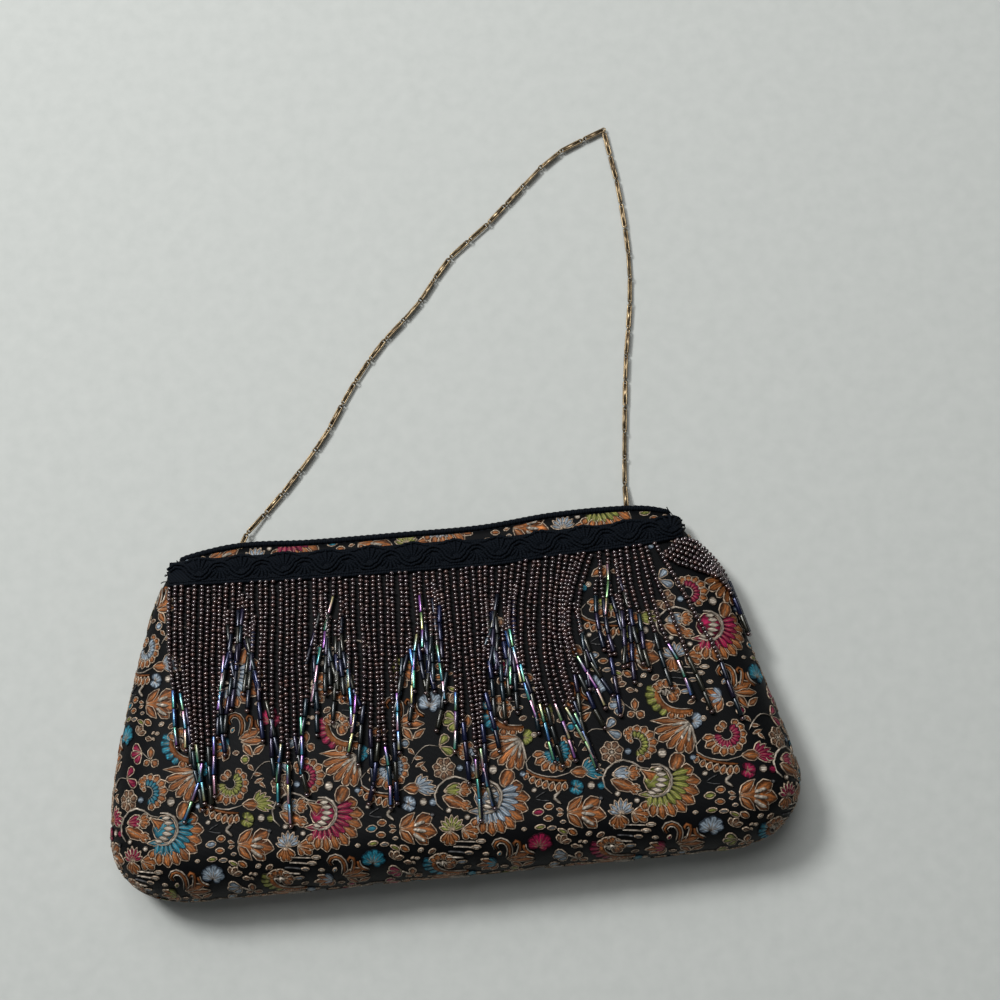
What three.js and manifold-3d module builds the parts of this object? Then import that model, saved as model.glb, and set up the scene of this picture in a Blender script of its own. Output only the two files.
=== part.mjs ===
// A brocade clutch bag with a beaded fringe and a chain handle, lying on its back.
// Millimetres, +Z up: X runs along the bag's width, +Y to its mouth, and the back rests on z = 0.
import * as THREE from 'three';
import { mergeVertices } from 'three/addons/utils/BufferGeometryUtils.js';
import Module from 'manifold-3d';

const wasm = await Module();
wasm.setup();

// Cloth walls, and the clearance between pieces that touch
const WALL = 1.8;
const GAP = 0.3;

// Plan outline: half-widths left and right of the middle, from the bottom corners up to the mouth
const OUTLINE = [
  { y: -38, left: 123.4, right: 123.4 },
  { y: -20, left: 121.6, right: 119.6 },
  { y: 0, left: 117.5, right: 114.2 },
  { y: 20, left: 112.4, right: 109.4 },
  { y: 36, left: 107.9, right: 105.2 },
  { y: 46, left: 104.5, right: 98.8 },
  { y: 57, left: 98.6, right: 91.2 },
  { y: 63.5, left: 91.5, right: 86.5 },
];
const BOTTOM_Y = -63.3;
const CORNER_WIDE = 32;
const CORNER_POWER = 2.3;
const CORNER_STEPS = 10;
const SIDE_STEP = 4;
const ON_THE_LINE = 1e-6;

// Edge of the mouth, seen from above
const MOUTH = [
  { x: -95, y: 60.6 },
  { x: -71, y: 62.6 },
  { x: -45, y: 60.8 },
  { x: -11, y: 59.9 },
  { x: 19, y: 59.5 },
  { x: 44, y: 61.6 },
  { x: 63, y: 62.0 },
  { x: 80, y: 61.2 },
  { x: 89, y: 59.6 },
];

// Side view: height of the side seam and of the front, and how far in the edge's roll reaches
const PROFILE = [
  { y: -64, seam: 11, top: 33.5, roll: 17 },
  { y: -45, seam: 11, top: 33.5, roll: 17 },
  { y: -20, seam: 11, top: 32, roll: 18 },
  { y: 5, seam: 10, top: 28, roll: 18 },
  { y: 30, seam: 8, top: 21.8, roll: 17 },
  { y: 50, seam: 6, top: 15.8, roll: 14 },
  { y: 63, seam: 5, top: 12, roll: 11 },
];
const CROWN_DROP = 3.5;
const BACK_ROLL = 12;

// Panel grids: the side edges end part way round the bottom corners
const CORNER_SPLIT_Y = -56.5;
const FRONT_GRID = { middle: 7, upper: 6, roll: 5, acrossRoll: 0.085, downRoll: 0.14 };
const BACK_GRID = { middle: 7, upper: 4, roll: 3, acrossRoll: 0.06, downRoll: 0.1 };

// Corded edge of the mouth
const RIM_RADIUS = 1.15;
const RIM_SEAT = 0.45;
const RIM_SIDES = 6;
const RIM_STEPS = 44;
const RIM_SUPPORT_STEPS = 16;

// Braid across the front: its lower and upper edges seen from above
const BRAID = [
  { x: -101, lower: 50.4, upper: 60.4 },
  { x: -62, lower: 47.9, upper: 58.8 },
  { x: -36, lower: 46.5, upper: 57.5 },
  { x: 0, lower: 45.5, upper: 56.6 },
  { x: 24, lower: 44.9, upper: 55.7 },
  { x: 44, lower: 46.0, upper: 56.4 },
  { x: 62, lower: 46.5, upper: 56.8 },
  { x: 80, lower: 47.4, upper: 57.6 },
  { x: 95, lower: 49.4, upper: 57.6 },
];
const BRAID_THICK = 2.0;
const BRAID_EDGE_THICK = 1.2;
const STRIP_STEPS = 24;
const STRIP_END_INSET = 1.2;

// Fringe: a head tape under the braid, and locks whose lengths run in a zigzag
const HEAD_DEEP = 2.4;
const HEAD_THICK = 1.8;
const LOCK_LIFT = 0.45;
const LOCK_THICK = 1.6;
const LOCK_HALF_WIDE = 3.3;
const LOCK_TIP_HALF_WIDE = 2.2;
const LOCK_PITCH = 7.5;
const LOCK_STEP = 15;
const SHORT_LOCK = 31;
const LOCK_ROOTS = { first: -93.5, last: 80 };

// Zigzag bundles: root of the longest strand, the short roots either side, and its length
const BUNDLES = [
  { peak: -84.3, from: -108, to: -71, long: 87 },
  { peak: -54, from: -71, to: -37, long: 86 },
  { peak: -20.8, from: -37, to: -4.2, long: 87 },
  { peak: 10.9, from: -4.2, to: 25.9, long: 88 },
  { peak: 45.1, from: 25.9, to: 63, long: 84 },
  { peak: 81, from: 63, to: 99, long: 72 },
];

// How the strands lie: sideways bow at mid-length and drift at the tip, by root
const LIE = [
  { x: -98, bow: 0, drift: 2 },
  { x: -84, bow: 0, drift: -0.8 },
  { x: -54, bow: 0, drift: -3 },
  { x: -21, bow: 0, drift: -2.7 },
  { x: 11, bow: 0, drift: -0.6 },
  { x: 33, bow: -5, drift: 2 },
  { x: 45, bow: -7, drift: 9 },
  { x: 55, bow: -9, drift: 5 },
  { x: 61, bow: 0, drift: -2 },
  { x: 72, bow: 0, drift: 0 },
  { x: 76, bow: -2, drift: 2 },
  { x: 80.5, bow: -1, drift: 14 },
];

// Last strands, swept over the right shoulder: middle line of the bunch
const SWEEP = [
  { x: 84, y: 43.2 },
  { x: 92, y: 40.8 },
  { x: 98.5, y: 36.8 },
  { x: 103.6, y: 30 },
  { x: 107.2, y: 20 },
  { x: 109.4, y: 10 },
];
const SWEEP_STEPS = 12;
const SWEEP_HALF_WIDE = 3.6;
const SWEEP_TIP_HALF_WIDE = 1.6;
const SWEEP_INSET = 1.0;

// Handle chain: long links and small rings of wire
const LINK = { long: 10, wide: 1.95, wire: 0.58 };
const RING = { long: 2.35, wide: 2.35, wire: 0.5 };
const LINK_SIDES = 10;
const WIRE_SIDES = 5;
const LINK_ROLL = 0.7;
const LINK_ROLL_STEP = 0.9;
const ROLL_EASE_LINKS = 2;
const CHAIN_Z = 1.25;
const CHAIN_INSIDE_Z = 4.3;
const ROUTE_DIVISIONS = 600;

// Route of the chain from its left eye to the top of the loop, and from there to its right eye
const LEFT_ROUTE = [
  { x: -73.8, y: 44, z: CHAIN_INSIDE_Z },
  { x: -73.6, y: 63.5, z: CHAIN_INSIDE_Z },
  { x: -67, y: 72.6, z: CHAIN_Z },
  { x: -59.8, y: 79.5, z: CHAIN_Z },
  { x: -47.7, y: 92.6, z: CHAIN_Z },
  { x: -36.5, y: 106.4, z: CHAIN_Z },
  { x: -26.2, y: 122.4, z: CHAIN_Z },
  { x: -12.8, y: 139.2, z: CHAIN_Z },
  { x: 2.1, y: 153.2, z: CHAIN_Z },
  { x: 15.8, y: 170.3, z: CHAIN_Z },
  { x: 31.8, y: 182.6, z: CHAIN_Z },
  { x: 48.4, y: 197.9, z: CHAIN_Z },
  { x: 62.5, y: 209.4, z: CHAIN_Z },
  { x: 81.9, y: 217.3, z: CHAIN_Z },
];
const RIGHT_ROUTE = [
  { x: 81.9, y: 217.3, z: CHAIN_Z },
  { x: 83.2, y: 207, z: CHAIN_Z },
  { x: 85.0, y: 192, z: CHAIN_Z },
  { x: 85.9, y: 164.2, z: CHAIN_Z },
  { x: 84.1, y: 144, z: CHAIN_Z },
  { x: 80.2, y: 122.5, z: CHAIN_Z },
  { x: 77.4, y: 101.1, z: CHAIN_Z },
  { x: 75.1, y: 81.8, z: CHAIN_Z },
  { x: 74.2, y: 72.6, z: CHAIN_Z },
  { x: 73.8, y: 63.5, z: CHAIN_INSIDE_Z },
  { x: 73.7, y: 45, z: CHAIN_INSIDE_Z },
];

// Hidden eyes that hold the chain ends
const EYE_PLATE = { wide: 9, deep: 7, thick: 1.1 };
const EYE_RADIUS = 1.7;
const EYE_WIRE = 0.4;
const EYE_SIDES = 12;
const EYE_LIFT = 0.55;

const BROCADE = { color: 0x2a1d18, roughness: 0.6, metalness: 0 };
const BLACK_CORD = { color: 0x0d0f14, roughness: 0.85, metalness: 0 };
const BEADS = { color: 0x3a211c, roughness: 0.25, metalness: 0.4 };
const OLD_GOLD = { color: 0x8a6a35, roughness: 0.35, metalness: 1 };

const { lerp, clamp } = THREE.MathUtils;

// Smooth curve through one column of a table, read at a place along another column
function sample(rows, along, column, at) {
  const last = rows.length - 1;
  let k = 0;
  while (k < last - 1 && at > rows[k + 1][along]) k += 1;
  const slope = (i, j) => (rows[j][column] - rows[i][column]) / (rows[j][along] - rows[i][along]);
  const start = slope(Math.max(k - 1, 0), k + 1);
  const end = slope(k, Math.min(k + 2, last));
  const a = rows[k];
  const b = rows[k + 1];
  const span = b[along] - a[along];
  const f = (at - a[along]) / span;
  if (f < 0) return a[column] + start * (at - a[along]);
  if (f > 1) return b[column] + end * (at - b[along]);
  const rest = 1 - f;
  const ends = a[column] * (1 + 2 * f) * rest * rest + b[column] * (3 - 2 * f) * f * f;
  return ends + span * f * rest * (start * rest - end * f);
}

const profile = (column, y) => sample(PROFILE, 'y', column, y);
const sideOf = (x) => (x < 0 ? 'left' : 'right');
const CORNER_TOP_Y = OUTLINE[0].y;
const CORNER_DEEP = CORNER_TOP_Y - BOTTOM_Y;

function halfWidth(y, side) {
  if (y >= CORNER_TOP_Y) return sample(OUTLINE, 'y', side, y);
  const fall = Math.min(1, (CORNER_TOP_Y - y) / CORNER_DEEP);
  const reach = (1 - fall ** CORNER_POWER) ** (1 / CORNER_POWER);
  return OUTLINE[0][side] - CORNER_WIDE * (1 - reach);
}

function bottomY(x) {
  const start = OUTLINE[0][sideOf(x)] - CORNER_WIDE;
  const past = clamp((Math.abs(x) - start) / CORNER_WIDE, 0, 1);
  return CORNER_TOP_Y - CORNER_DEEP * (1 - past ** CORNER_POWER) ** (1 / CORNER_POWER);
}

// One side of the outline, from above the mouth to where the corner meets the bottom
function sideLine(side) {
  const sign = side === 'left' ? -1 : 1;
  const above = OUTLINE.at(-1).y + 3 * SIDE_STEP;
  const points = [];
  for (let y = above; y > CORNER_TOP_Y; y -= SIDE_STEP) {
    points.push(new THREE.Vector2(sign * halfWidth(y, side), y));
  }
  for (let k = 0; k <= CORNER_STEPS; k += 1) {
    const angle = (k / CORNER_STEPS) * (Math.PI / 2);
    const reach = Math.cos(angle) ** (2 / CORNER_POWER);
    const fall = Math.sin(angle) ** (2 / CORNER_POWER);
    const x = sign * (OUTLINE[0][side] - CORNER_WIDE * (1 - reach));
    points.push(new THREE.Vector2(x, CORNER_TOP_Y - fall * CORNER_DEEP));
  }
  return points;
}

const OUTLINE_LINE = [...sideLine('left'), ...sideLine('right').reverse()];

// Distance from the outline, positive inside, and the way straight in from it
function fromOutline(x, y) {
  const point = new THREE.Vector2(x, y);
  let nearest = { apart: Infinity };
  for (let k = 0; k + 1 < OUTLINE_LINE.length; k += 1) {
    const start = OUTLINE_LINE[k];
    const along = OUTLINE_LINE[k + 1].clone().sub(start);
    const share = clamp(point.clone().sub(start).dot(along) / along.lengthSq(), 0, 1);
    const foot = start.clone().addScaledVector(along, share);
    const apart = foot.distanceTo(point);
    if (apart < nearest.apart) nearest = { apart, foot, along };
  }
  const inward = new THREE.Vector2(-nearest.along.y, nearest.along.x).normalize();
  const offset = point.clone().sub(nearest.foot);
  const side = Math.sign(offset.dot(inward)) || 1;
  if (nearest.apart > ON_THE_LINE) inward.copy(offset).multiplyScalar(side / nearest.apart);
  return { distance: side * nearest.apart, inward };
}

// How far round the roll of an edge a place is: 1 at the seam, 0 where the panel is level
function rollAt(distance, roll) {
  const turn = clamp(1 - distance / roll, 0, 1);
  return { turn, rise: Math.sqrt(1 - turn * turn) };
}

function frontAt(x, y) {
  const { distance, inward } = fromOutline(x, y);
  const seam = profile('seam', y);
  const roll = profile('roll', y);
  const crown = CROWN_DROP * (x / halfWidth(y, sideOf(x))) ** 2;
  const high = profile('top', y) - crown - seam;
  const { turn, rise } = rollAt(distance, roll);
  const slope = (profile('top', y + 1) - profile('top', y - 1)) / 2;
  const steep = (high * turn) / roll;
  const normal = new THREE.Vector3(-steep * inward.x, -steep * inward.y - rise * slope, rise);
  return { at: new THREE.Vector3(x, y, seam + GAP / 2 + high * rise), normal: normal.normalize() };
}

function backAt(x, y) {
  const { distance, inward } = fromOutline(x, y);
  const seam = profile('seam', y) - GAP / 2;
  const { turn, rise } = rollAt(distance, BACK_ROLL);
  const steep = (seam * turn) / BACK_ROLL;
  const normal = new THREE.Vector3(-steep * inward.x, -steep * inward.y, -rise);
  return { at: new THREE.Vector3(x, y, seam * (1 - rise)), normal: normal.normalize() };
}

// Lifts a place off the front along its normal
function aboveFront(x, y, lift) {
  const { at, normal } = frontAt(x, y);
  return at.addScaledVector(normal, lift);
}

// Closed geometry from corner points and triangles, turned to face outwards
function closedGeometry(points, triangles) {
  let volume = 0;
  for (const [a, b, c] of triangles) {
    volume += points[a].dot(points[b].clone().cross(points[c]));
  }
  const facing = volume < 0 ? triangles.map(([a, b, c]) => [a, c, b]) : triangles;
  const geometry = new THREE.BufferGeometry().setFromPoints(points);
  geometry.setIndex(facing.flat());
  return geometry;
}

// Solid between an outer and an inner grid of points; corner cells split towards the middle
function slab(outer, inner) {
  const rows = outer.length;
  const columns = outer[0].length;
  const points = [...outer.flat(), ...inner.flat()];
  const at = (row, column, layer) => layer * rows * columns + row * columns + column;
  const triangles = [];
  const quad = (a, b, c, d) => triangles.push([a, b, c], [a, c, d]);
  for (let r = 0; r + 1 < rows; r += 1) {
    for (let c = 0; c + 1 < columns; c += 1) {
      for (const layer of [0, 1]) {
        const corners = [[r, c], [r + 1, c], [r + 1, c + 1], [r, c + 1]].map((spot) => at(...spot, layer));
        const [p, q, s, t] = layer ? corners.reverse() : corners;
        const splitFromFirst = (c < columns / 2 - 0.5) === (layer === 1);
        if (splitFromFirst) quad(p, q, s, t);
        else quad(q, s, t, p);
      }
    }
  }
  const wall = (a, b) => quad(at(...a, 0), at(...b, 0), at(...b, 1), at(...a, 1));
  for (let c = 0; c + 1 < columns; c += 1) {
    wall([0, c], [0, c + 1]);
    wall([rows - 1, c + 1], [rows - 1, c]);
  }
  for (let r = 0; r + 1 < rows; r += 1) {
    wall([r + 1, 0], [r, 0]);
    wall([r, columns - 1], [r + 1, columns - 1]);
  }
  return closedGeometry(points, triangles);
}

// Skin through a row of sections, capped at both ends or closed into a loop
function loft(sections, loop = false) {
  const sides = sections[0].length;
  const points = sections.flat();
  const triangles = [];
  const spans = loop ? sections.length : sections.length - 1;
  for (let k = 0; k < spans; k += 1) {
    const next = (k + 1) % sections.length;
    for (let j = 0; j < sides; j += 1) {
      const across = (j + 1) % sides;
      triangles.push([k * sides + j, k * sides + across, next * sides + across]);
      triangles.push([k * sides + j, next * sides + across, next * sides + j]);
    }
  }
  if (!loop) {
    const end = (sections.length - 1) * sides;
    for (let j = 1; j + 1 < sides; j += 1) {
      triangles.push([0, j + 1, j], [end, end + j, end + j + 1]);
    }
  }
  return closedGeometry(points, triangles);
}

function solid(geometry) {
  const bare = geometry.clone();
  bare.deleteAttribute('normal');
  bare.deleteAttribute('uv');
  const merged = mergeVertices(bare);
  return new wasm.Manifold(new wasm.Mesh({
    numProp: 3,
    vertProperties: new Float32Array(merged.attributes.position.array),
    triVerts: new Uint32Array(merged.index.array),
  }));
}

// Joins pieces that run into each other into one body
function fuse(geometries) {
  const mesh = wasm.Manifold.union(geometries.map(solid)).getMesh();
  const geometry = new THREE.BufferGeometry();
  geometry.setAttribute('position', new THREE.BufferAttribute(mesh.vertProperties, 3));
  geometry.setIndex(new THREE.BufferAttribute(mesh.triVerts, 1));
  return geometry;
}

// Shares of a panel's width: close steps round both rolls, even steps between
function acrossShares({ middle, roll, acrossRoll }) {
  const edge = [];
  for (let k = 0; k < roll; k += 1) edge.push(acrossRoll * (1 - Math.cos((k / roll) * (Math.PI / 2))));
  const between = [];
  for (let k = 0; k <= middle; k += 1) between.push(lerp(acrossRoll, 1 - acrossRoll, k / middle));
  return [...edge, ...between, ...edge.map((share) => 1 - share).reverse()];
}

// Shares of a panel's depth: even steps from the mouth, close steps round the bottom roll
function downShares({ upper, roll, downRoll }) {
  const shares = [];
  for (let k = 0; k < upper; k += 1) shares.push(((1 - downRoll) * k) / upper);
  for (let k = 0; k <= roll; k += 1) shares.push(1 - downRoll * (1 - Math.sin((k / roll) * (Math.PI / 2))));
  return shares;
}

const mouthY = (x) => sample(MOUTH, 'x', 'y', x);
const MOUTH_LEFT = MOUTH[0];
const MOUTH_RIGHT = MOUTH.at(-1);

// Edges of a panel seen from above
function mouthEdge(share) {
  const left = -halfWidth(MOUTH_LEFT.y, 'left');
  const right = halfWidth(MOUTH_RIGHT.y, 'right');
  const x = lerp(left, right, share);
  return new THREE.Vector2(x, mouthY(clamp(x, MOUTH_LEFT.x, MOUTH_RIGHT.x)));
}

function sideEdge(side, share) {
  const top = side === 'left' ? MOUTH_LEFT.y : MOUTH_RIGHT.y;
  const y = lerp(top, CORNER_SPLIT_Y, share);
  return new THREE.Vector2((side === 'left' ? -1 : 1) * halfWidth(y, side), y);
}

function bottomEdge(share) {
  const x = lerp(-halfWidth(CORNER_SPLIT_Y, 'left'), halfWidth(CORNER_SPLIT_Y, 'right'), share);
  return new THREE.Vector2(x, bottomY(x));
}

// Place in plan blended from the four edges
function planAt(across, down) {
  const blend = (a, b, share) => a.clone().lerp(b, share);
  const rows = blend(mouthEdge(across), bottomEdge(across), down);
  const columns = blend(sideEdge('left', down), sideEdge('right', down), across);
  const top = blend(mouthEdge(0), mouthEdge(1), across);
  const bottom = blend(bottomEdge(0), bottomEdge(1), across);
  return rows.add(columns).sub(blend(top, bottom, down));
}

function panel(grid, surface) {
  const outer = [];
  const inner = [];
  for (const down of downShares(grid)) {
    const faces = acrossShares(grid).map((across) => surface(...planAt(across, down)));
    outer.push(faces.map(({ at }) => at));
    inner.push(faces.map(({ at, normal }) => at.clone().addScaledVector(normal, -WALL)));
  }
  return slab(outer, inner);
}

// Closed cord round the mouth, seated above the cut edges of both panels
function mouthRim() {
  const middles = [];
  const middleOfWall = (surface, share) => {
    const { at, normal } = surface(...mouthEdge(share));
    at.addScaledVector(normal, -WALL / 2);
    at.y += RIM_SEAT + RIM_RADIUS;
    at.z = Math.max(at.z, RIM_RADIUS + GAP / 2);
    return at;
  };
  const ease = (k) => (1 - Math.cos((k / RIM_SUPPORT_STEPS) * Math.PI)) / 2;
  for (let k = 0; k < RIM_SUPPORT_STEPS; k += 1) middles.push(middleOfWall(frontAt, ease(k)));
  for (let k = 0; k < RIM_SUPPORT_STEPS; k += 1) middles.push(middleOfWall(backAt, 1 - ease(k)));
  const line = new THREE.CatmullRomCurve3(middles, true);
  const frames = line.computeFrenetFrames(RIM_STEPS, true);
  const sections = [];
  for (let k = 0; k < RIM_STEPS; k += 1) {
    const centre = line.getPointAt(k / RIM_STEPS);
    const section = [];
    for (let j = 0; j < RIM_SIDES; j += 1) {
      const angle = (j / RIM_SIDES) * 2 * Math.PI;
      section.push(centre.clone()
        .addScaledVector(frames.normals[k], RIM_RADIUS * Math.cos(angle))
        .addScaledVector(frames.binormals[k], RIM_RADIUS * Math.sin(angle)));
    }
    sections.push(section);
  }
  return loft(sections, true);
}

// Strip laid across the front between two lines, thicker along its middle
function crossStrip(lowerAt, upperAt, thick, edgeThick) {
  const sections = [];
  for (let k = 0; k <= STRIP_STEPS; k += 1) {
    const share = (1 - Math.cos((k / STRIP_STEPS) * Math.PI)) / 2;
    const guide = lerp(BRAID[0].x, BRAID.at(-1).x, share);
    const place = (y, lift) => {
      const left = STRIP_END_INSET - halfWidth(y, 'left');
      const right = halfWidth(y, 'right') - STRIP_END_INSET;
      return aboveFront(lerp(left, right, share), y, GAP + lift);
    };
    const lower = lowerAt(guide);
    const upper = upperAt(guide);
    const middle = (lower + upper) / 2;
    const under = [place(lower, 0), place(middle, 0), place(upper, 0)];
    sections.push([...under, place(upper, edgeThick), place(middle, thick), place(lower, edgeThick)]);
  }
  return loft(sections);
}

const braidLine = (edge) => (x) => sample(BRAID, 'x', edge, x);

function braidTrim() {
  return crossStrip(braidLine('lower'), braidLine('upper'), BRAID_THICK, BRAID_EDGE_THICK);
}

// Length of the strand at a root: longest at a bundle's peak, short between bundles
function strandLength(root) {
  const bundle = BUNDLES.find(({ to }) => root <= to) ?? BUNDLES.at(-1);
  const far = root < bundle.peak ? bundle.from : bundle.to;
  const share = 1 - Math.abs(root - bundle.peak) / Math.abs(far - bundle.peak);
  return lerp(SHORT_LOCK, bundle.long, share);
}

// Flat lock over the front, along a line of plan places and its half-widths
function lock(places) {
  const sections = places.map(({ spot, half }, k) => {
    const before = places[Math.max(k - 1, 0)].spot;
    const after = places[Math.min(k + 1, places.length - 1)].spot;
    const side = after.clone().sub(before).normalize();
    const edge = (sign, lift) => {
      const x = spot.x - sign * half * side.y;
      const y = spot.y + sign * half * side.x;
      return aboveFront(x, y, LOCK_LIFT + lift);
    };
    return [edge(-1, 0), edge(1, 0), edge(1, LOCK_THICK), edge(-1, LOCK_THICK)];
  });
  return loft(sections);
}

function hangingLock(root) {
  const top = braidLine('lower')(root) - GAP - HEAD_DEEP / 2;
  const long = strandLength(root);
  const bow = sample(LIE, 'x', 'bow', root);
  const drift = sample(LIE, 'x', 'drift', root);
  const steps = Math.ceil(long / LOCK_STEP);
  const places = [];
  for (let k = 0; k <= steps; k += 1) {
    const share = k / steps;
    const x = root + bow * Math.sin(share * Math.PI) + drift * share * share;
    const half = lerp(LOCK_HALF_WIDE, LOCK_TIP_HALF_WIDE, share);
    places.push({ spot: new THREE.Vector2(x, top - long * share), half });
  }
  return lock(places);
}

function sweptLock() {
  const line = new THREE.CatmullRomCurve3(SWEEP.map(({ x, y }) => new THREE.Vector3(x, y, 0)));
  const places = [];
  for (let k = 0; k <= SWEEP_STEPS; k += 1) {
    const share = k / SWEEP_STEPS;
    const spot = line.getPointAt(share);
    const half = lerp(SWEEP_HALF_WIDE, SWEEP_TIP_HALF_WIDE, Math.min(1, 2 * share));
    const reach = halfWidth(spot.y, 'right') - SWEEP_INSET - half;
    places.push({ spot: new THREE.Vector2(Math.min(spot.x, reach), spot.y), half });
  }
  return lock(places);
}

function beadFringe() {
  const lower = (x) => braidLine('lower')(x) - GAP - HEAD_DEEP;
  const upper = (x) => braidLine('lower')(x) - GAP;
  const pieces = [crossStrip(lower, upper, HEAD_THICK, HEAD_THICK), sweptLock()];
  for (let root = LOCK_ROOTS.first; root <= LOCK_ROOTS.last; root += LOCK_PITCH) {
    pieces.push(hangingLock(root));
  }
  return fuse(pieces);
}

// Rows of points round a loop of wire drawn out along X, with a flat facing inwards at each end of X
function wireLoop({ long, wide, wire }, frame) {
  const rows = [];
  for (let i = 0; i < LINK_SIDES; i += 1) {
    const angle = ((i + 0.5) / LINK_SIDES) * 2 * Math.PI;
    const out = new THREE.Vector3(Math.cos(angle), Math.sin(angle), 0);
    const middle = out.clone().multiplyScalar((wide - wire) / 2);
    middle.x += (Math.sign(out.x) * (long - wide)) / 2;
    const row = [];
    for (let j = 0; j < WIRE_SIDES; j += 1) {
      const turn = Math.PI + ((j - 0.5) / WIRE_SIDES) * 2 * Math.PI;
      const spot = middle.clone().addScaledVector(out, (wire / 2) * Math.cos(turn));
      spot.z += (wire / 2) * Math.sin(turn);
      row.push(spot.applyMatrix4(frame));
    }
    rows.push(row);
  }
  return { rows, joined: new Set() };
}

// Each flat lies after one of the rows, between the first two points round the wire. A ring stands
// across its links, so its corners meet a link's in another order.
const FAR_FLAT = LINK_SIDES - 1;
const NEAR_FLAT = LINK_SIDES / 2 - 1;
const NEAR_CORNERS = [0, 2, 1, 3];
const FAR_CORNERS = [3, 1, 2, 0];

function flatPoints({ rows }, flat) {
  const next = rows[(flat + 1) % LINK_SIDES];
  return [rows[flat][0], rows[flat][1], next[0], next[1]];
}

// Draws the flat of a ring onto the flat of a link, and opens both there
function joinFlats(ring, ringFlat, link, linkFlat, cornerOrder) {
  const seats = flatPoints(link, linkFlat);
  flatPoints(ring, ringFlat).forEach((point, k) => point.copy(seats[cornerOrder[k]]));
  ring.joined.add(ringFlat);
  link.joined.add(linkFlat);
}

// Skin of a set of loops, left open at their joined flats, where the next loop goes on
function loopSkin(loops) {
  const points = [];
  const triangles = [];
  for (const { rows, joined } of loops) {
    const base = points.length;
    const at = (i, j) => base + (i % LINK_SIDES) * WIRE_SIDES + (j % WIRE_SIDES);
    points.push(...rows.flat());
    for (let i = 0; i < LINK_SIDES; i += 1) {
      for (let j = joined.has(i) ? 1 : 0; j < WIRE_SIDES; j += 1) {
        triangles.push([at(i, j), at(i + 1, j), at(i + 1, j + 1)]);
        triangles.push([at(i, j), at(i + 1, j + 1), at(i, j + 1)]);
      }
    }
  }
  return mergeVertices(closedGeometry(points, triangles));
}

// How far a flat of a loop lies from its middle, and so the distance between neighbouring rings
function flatReach({ long, wide, wire }) {
  const bend = (wide - wire) / 2 - (wire / 2) * Math.cos(Math.PI / WIRE_SIDES);
  return (long - wide) / 2 + bend * Math.cos(Math.PI / LINK_SIDES);
}

const CHAIN_PITCH = 2 * (flatReach(LINK) + flatReach(RING));

// Place at a distance along a route, going straight on past its ends
function placeOn(line, distance) {
  const reach = clamp(distance, 0, line.getLength());
  const share = reach / line.getLength();
  return line.getPointAt(share).addScaledVector(line.getTangentAt(share), distance - reach);
}

// Frame with X from one place to another, Z up, then turned about X
function frameBetween(start, end, turn) {
  const along = end.clone().sub(start).normalize();
  const across = new THREE.Vector3(0, 0, 1).cross(along).normalize();
  const up = along.clone().cross(across);
  const middle = start.clone().lerp(end, 0.5);
  const frame = new THREE.Matrix4().makeBasis(along, across, up).setPosition(middle);
  return frame.multiply(new THREE.Matrix4().makeRotationX(turn));
}

// Roll of each long link about the route, easing to flat at both ends of a run
function linkTurn(k, count) {
  const fromEnd = Math.min(k, count - 1 - k);
  return LINK_ROLL * Math.sin(LINK_ROLL_STEP * k) * Math.min(1, fromEnd / ROLL_EASE_LINKS);
}

// Run of chain along a route, from where its first long link is centred; it may start with a ring
function chainRun(line, count, firstCentre, startsWithRing) {
  const spot = (k) => placeOn(line, firstCentre + (k - 0.5) * CHAIN_PITCH);
  const links = [];
  for (let k = 0; k < count; k += 1) {
    links.push(wireLoop(LINK, frameBetween(spot(k), spot(k + 1), linkTurn(k, count))));
  }
  const rings = [];
  for (let k = startsWithRing ? 0 : 1; k < count; k += 1) {
    const turn = (linkTurn(Math.max(k - 1, 0), count) + linkTurn(k, count)) / 2 + Math.PI / 2;
    const nearby = (step) => placeOn(line, firstCentre + (k - 0.5) * CHAIN_PITCH + step * RING.long);
    const ring = wireLoop(RING, frameBetween(nearby(-1), nearby(1), turn));
    if (k > 0) joinFlats(ring, NEAR_FLAT, links[k - 1], FAR_FLAT, NEAR_CORNERS);
    joinFlats(ring, FAR_FLAT, links[k], NEAR_FLAT, FAR_CORNERS);
    rings.push(ring);
  }
  return loopSkin([...links, ...rings]);
}

// Wire eye on a small plate, held inside the mouth, with its wire at a place on the route
function chainEye(line, distance, inward) {
  const along = line.getTangentAt(distance / line.getLength()).setZ(0).normalize();
  const centre = placeOn(line, distance).addScaledVector(along, inward * EYE_RADIUS);
  const eye = new THREE.TorusGeometry(EYE_RADIUS, EYE_WIRE / 2, WIRE_SIDES, EYE_SIDES);
  eye.rotateY(Math.PI / 2).translate(centre.x, centre.y, centre.z);
  const plate = new THREE.BoxGeometry(EYE_PLATE.wide, EYE_PLATE.deep, EYE_PLATE.thick);
  plate.translate(centre.x, centre.y, WALL + EYE_LIFT + EYE_PLATE.thick / 2);
  return fuse([eye, plate]);
}

function routeLine(route) {
  const line = new THREE.CatmullRomCurve3(route.map(({ x, y, z }) => new THREE.Vector3(x, y, z)));
  line.arcLengthDivisions = ROUTE_DIVISIONS;
  return line;
}

// Left run: its last long link hooks the first ring of the right run at the top of the loop
const leftLine = routeLine(LEFT_ROUTE);
const leftCount = Math.floor(leftLine.getLength() / CHAIN_PITCH);
const leftLast = leftLine.getLength() + RING.wire / 2 + GAP - flatReach(LINK);
const leftFirst = leftLast - (leftCount - 1) * CHAIN_PITCH;
const leftEye = leftFirst - flatReach(LINK) + GAP + EYE_WIRE / 2;

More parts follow.
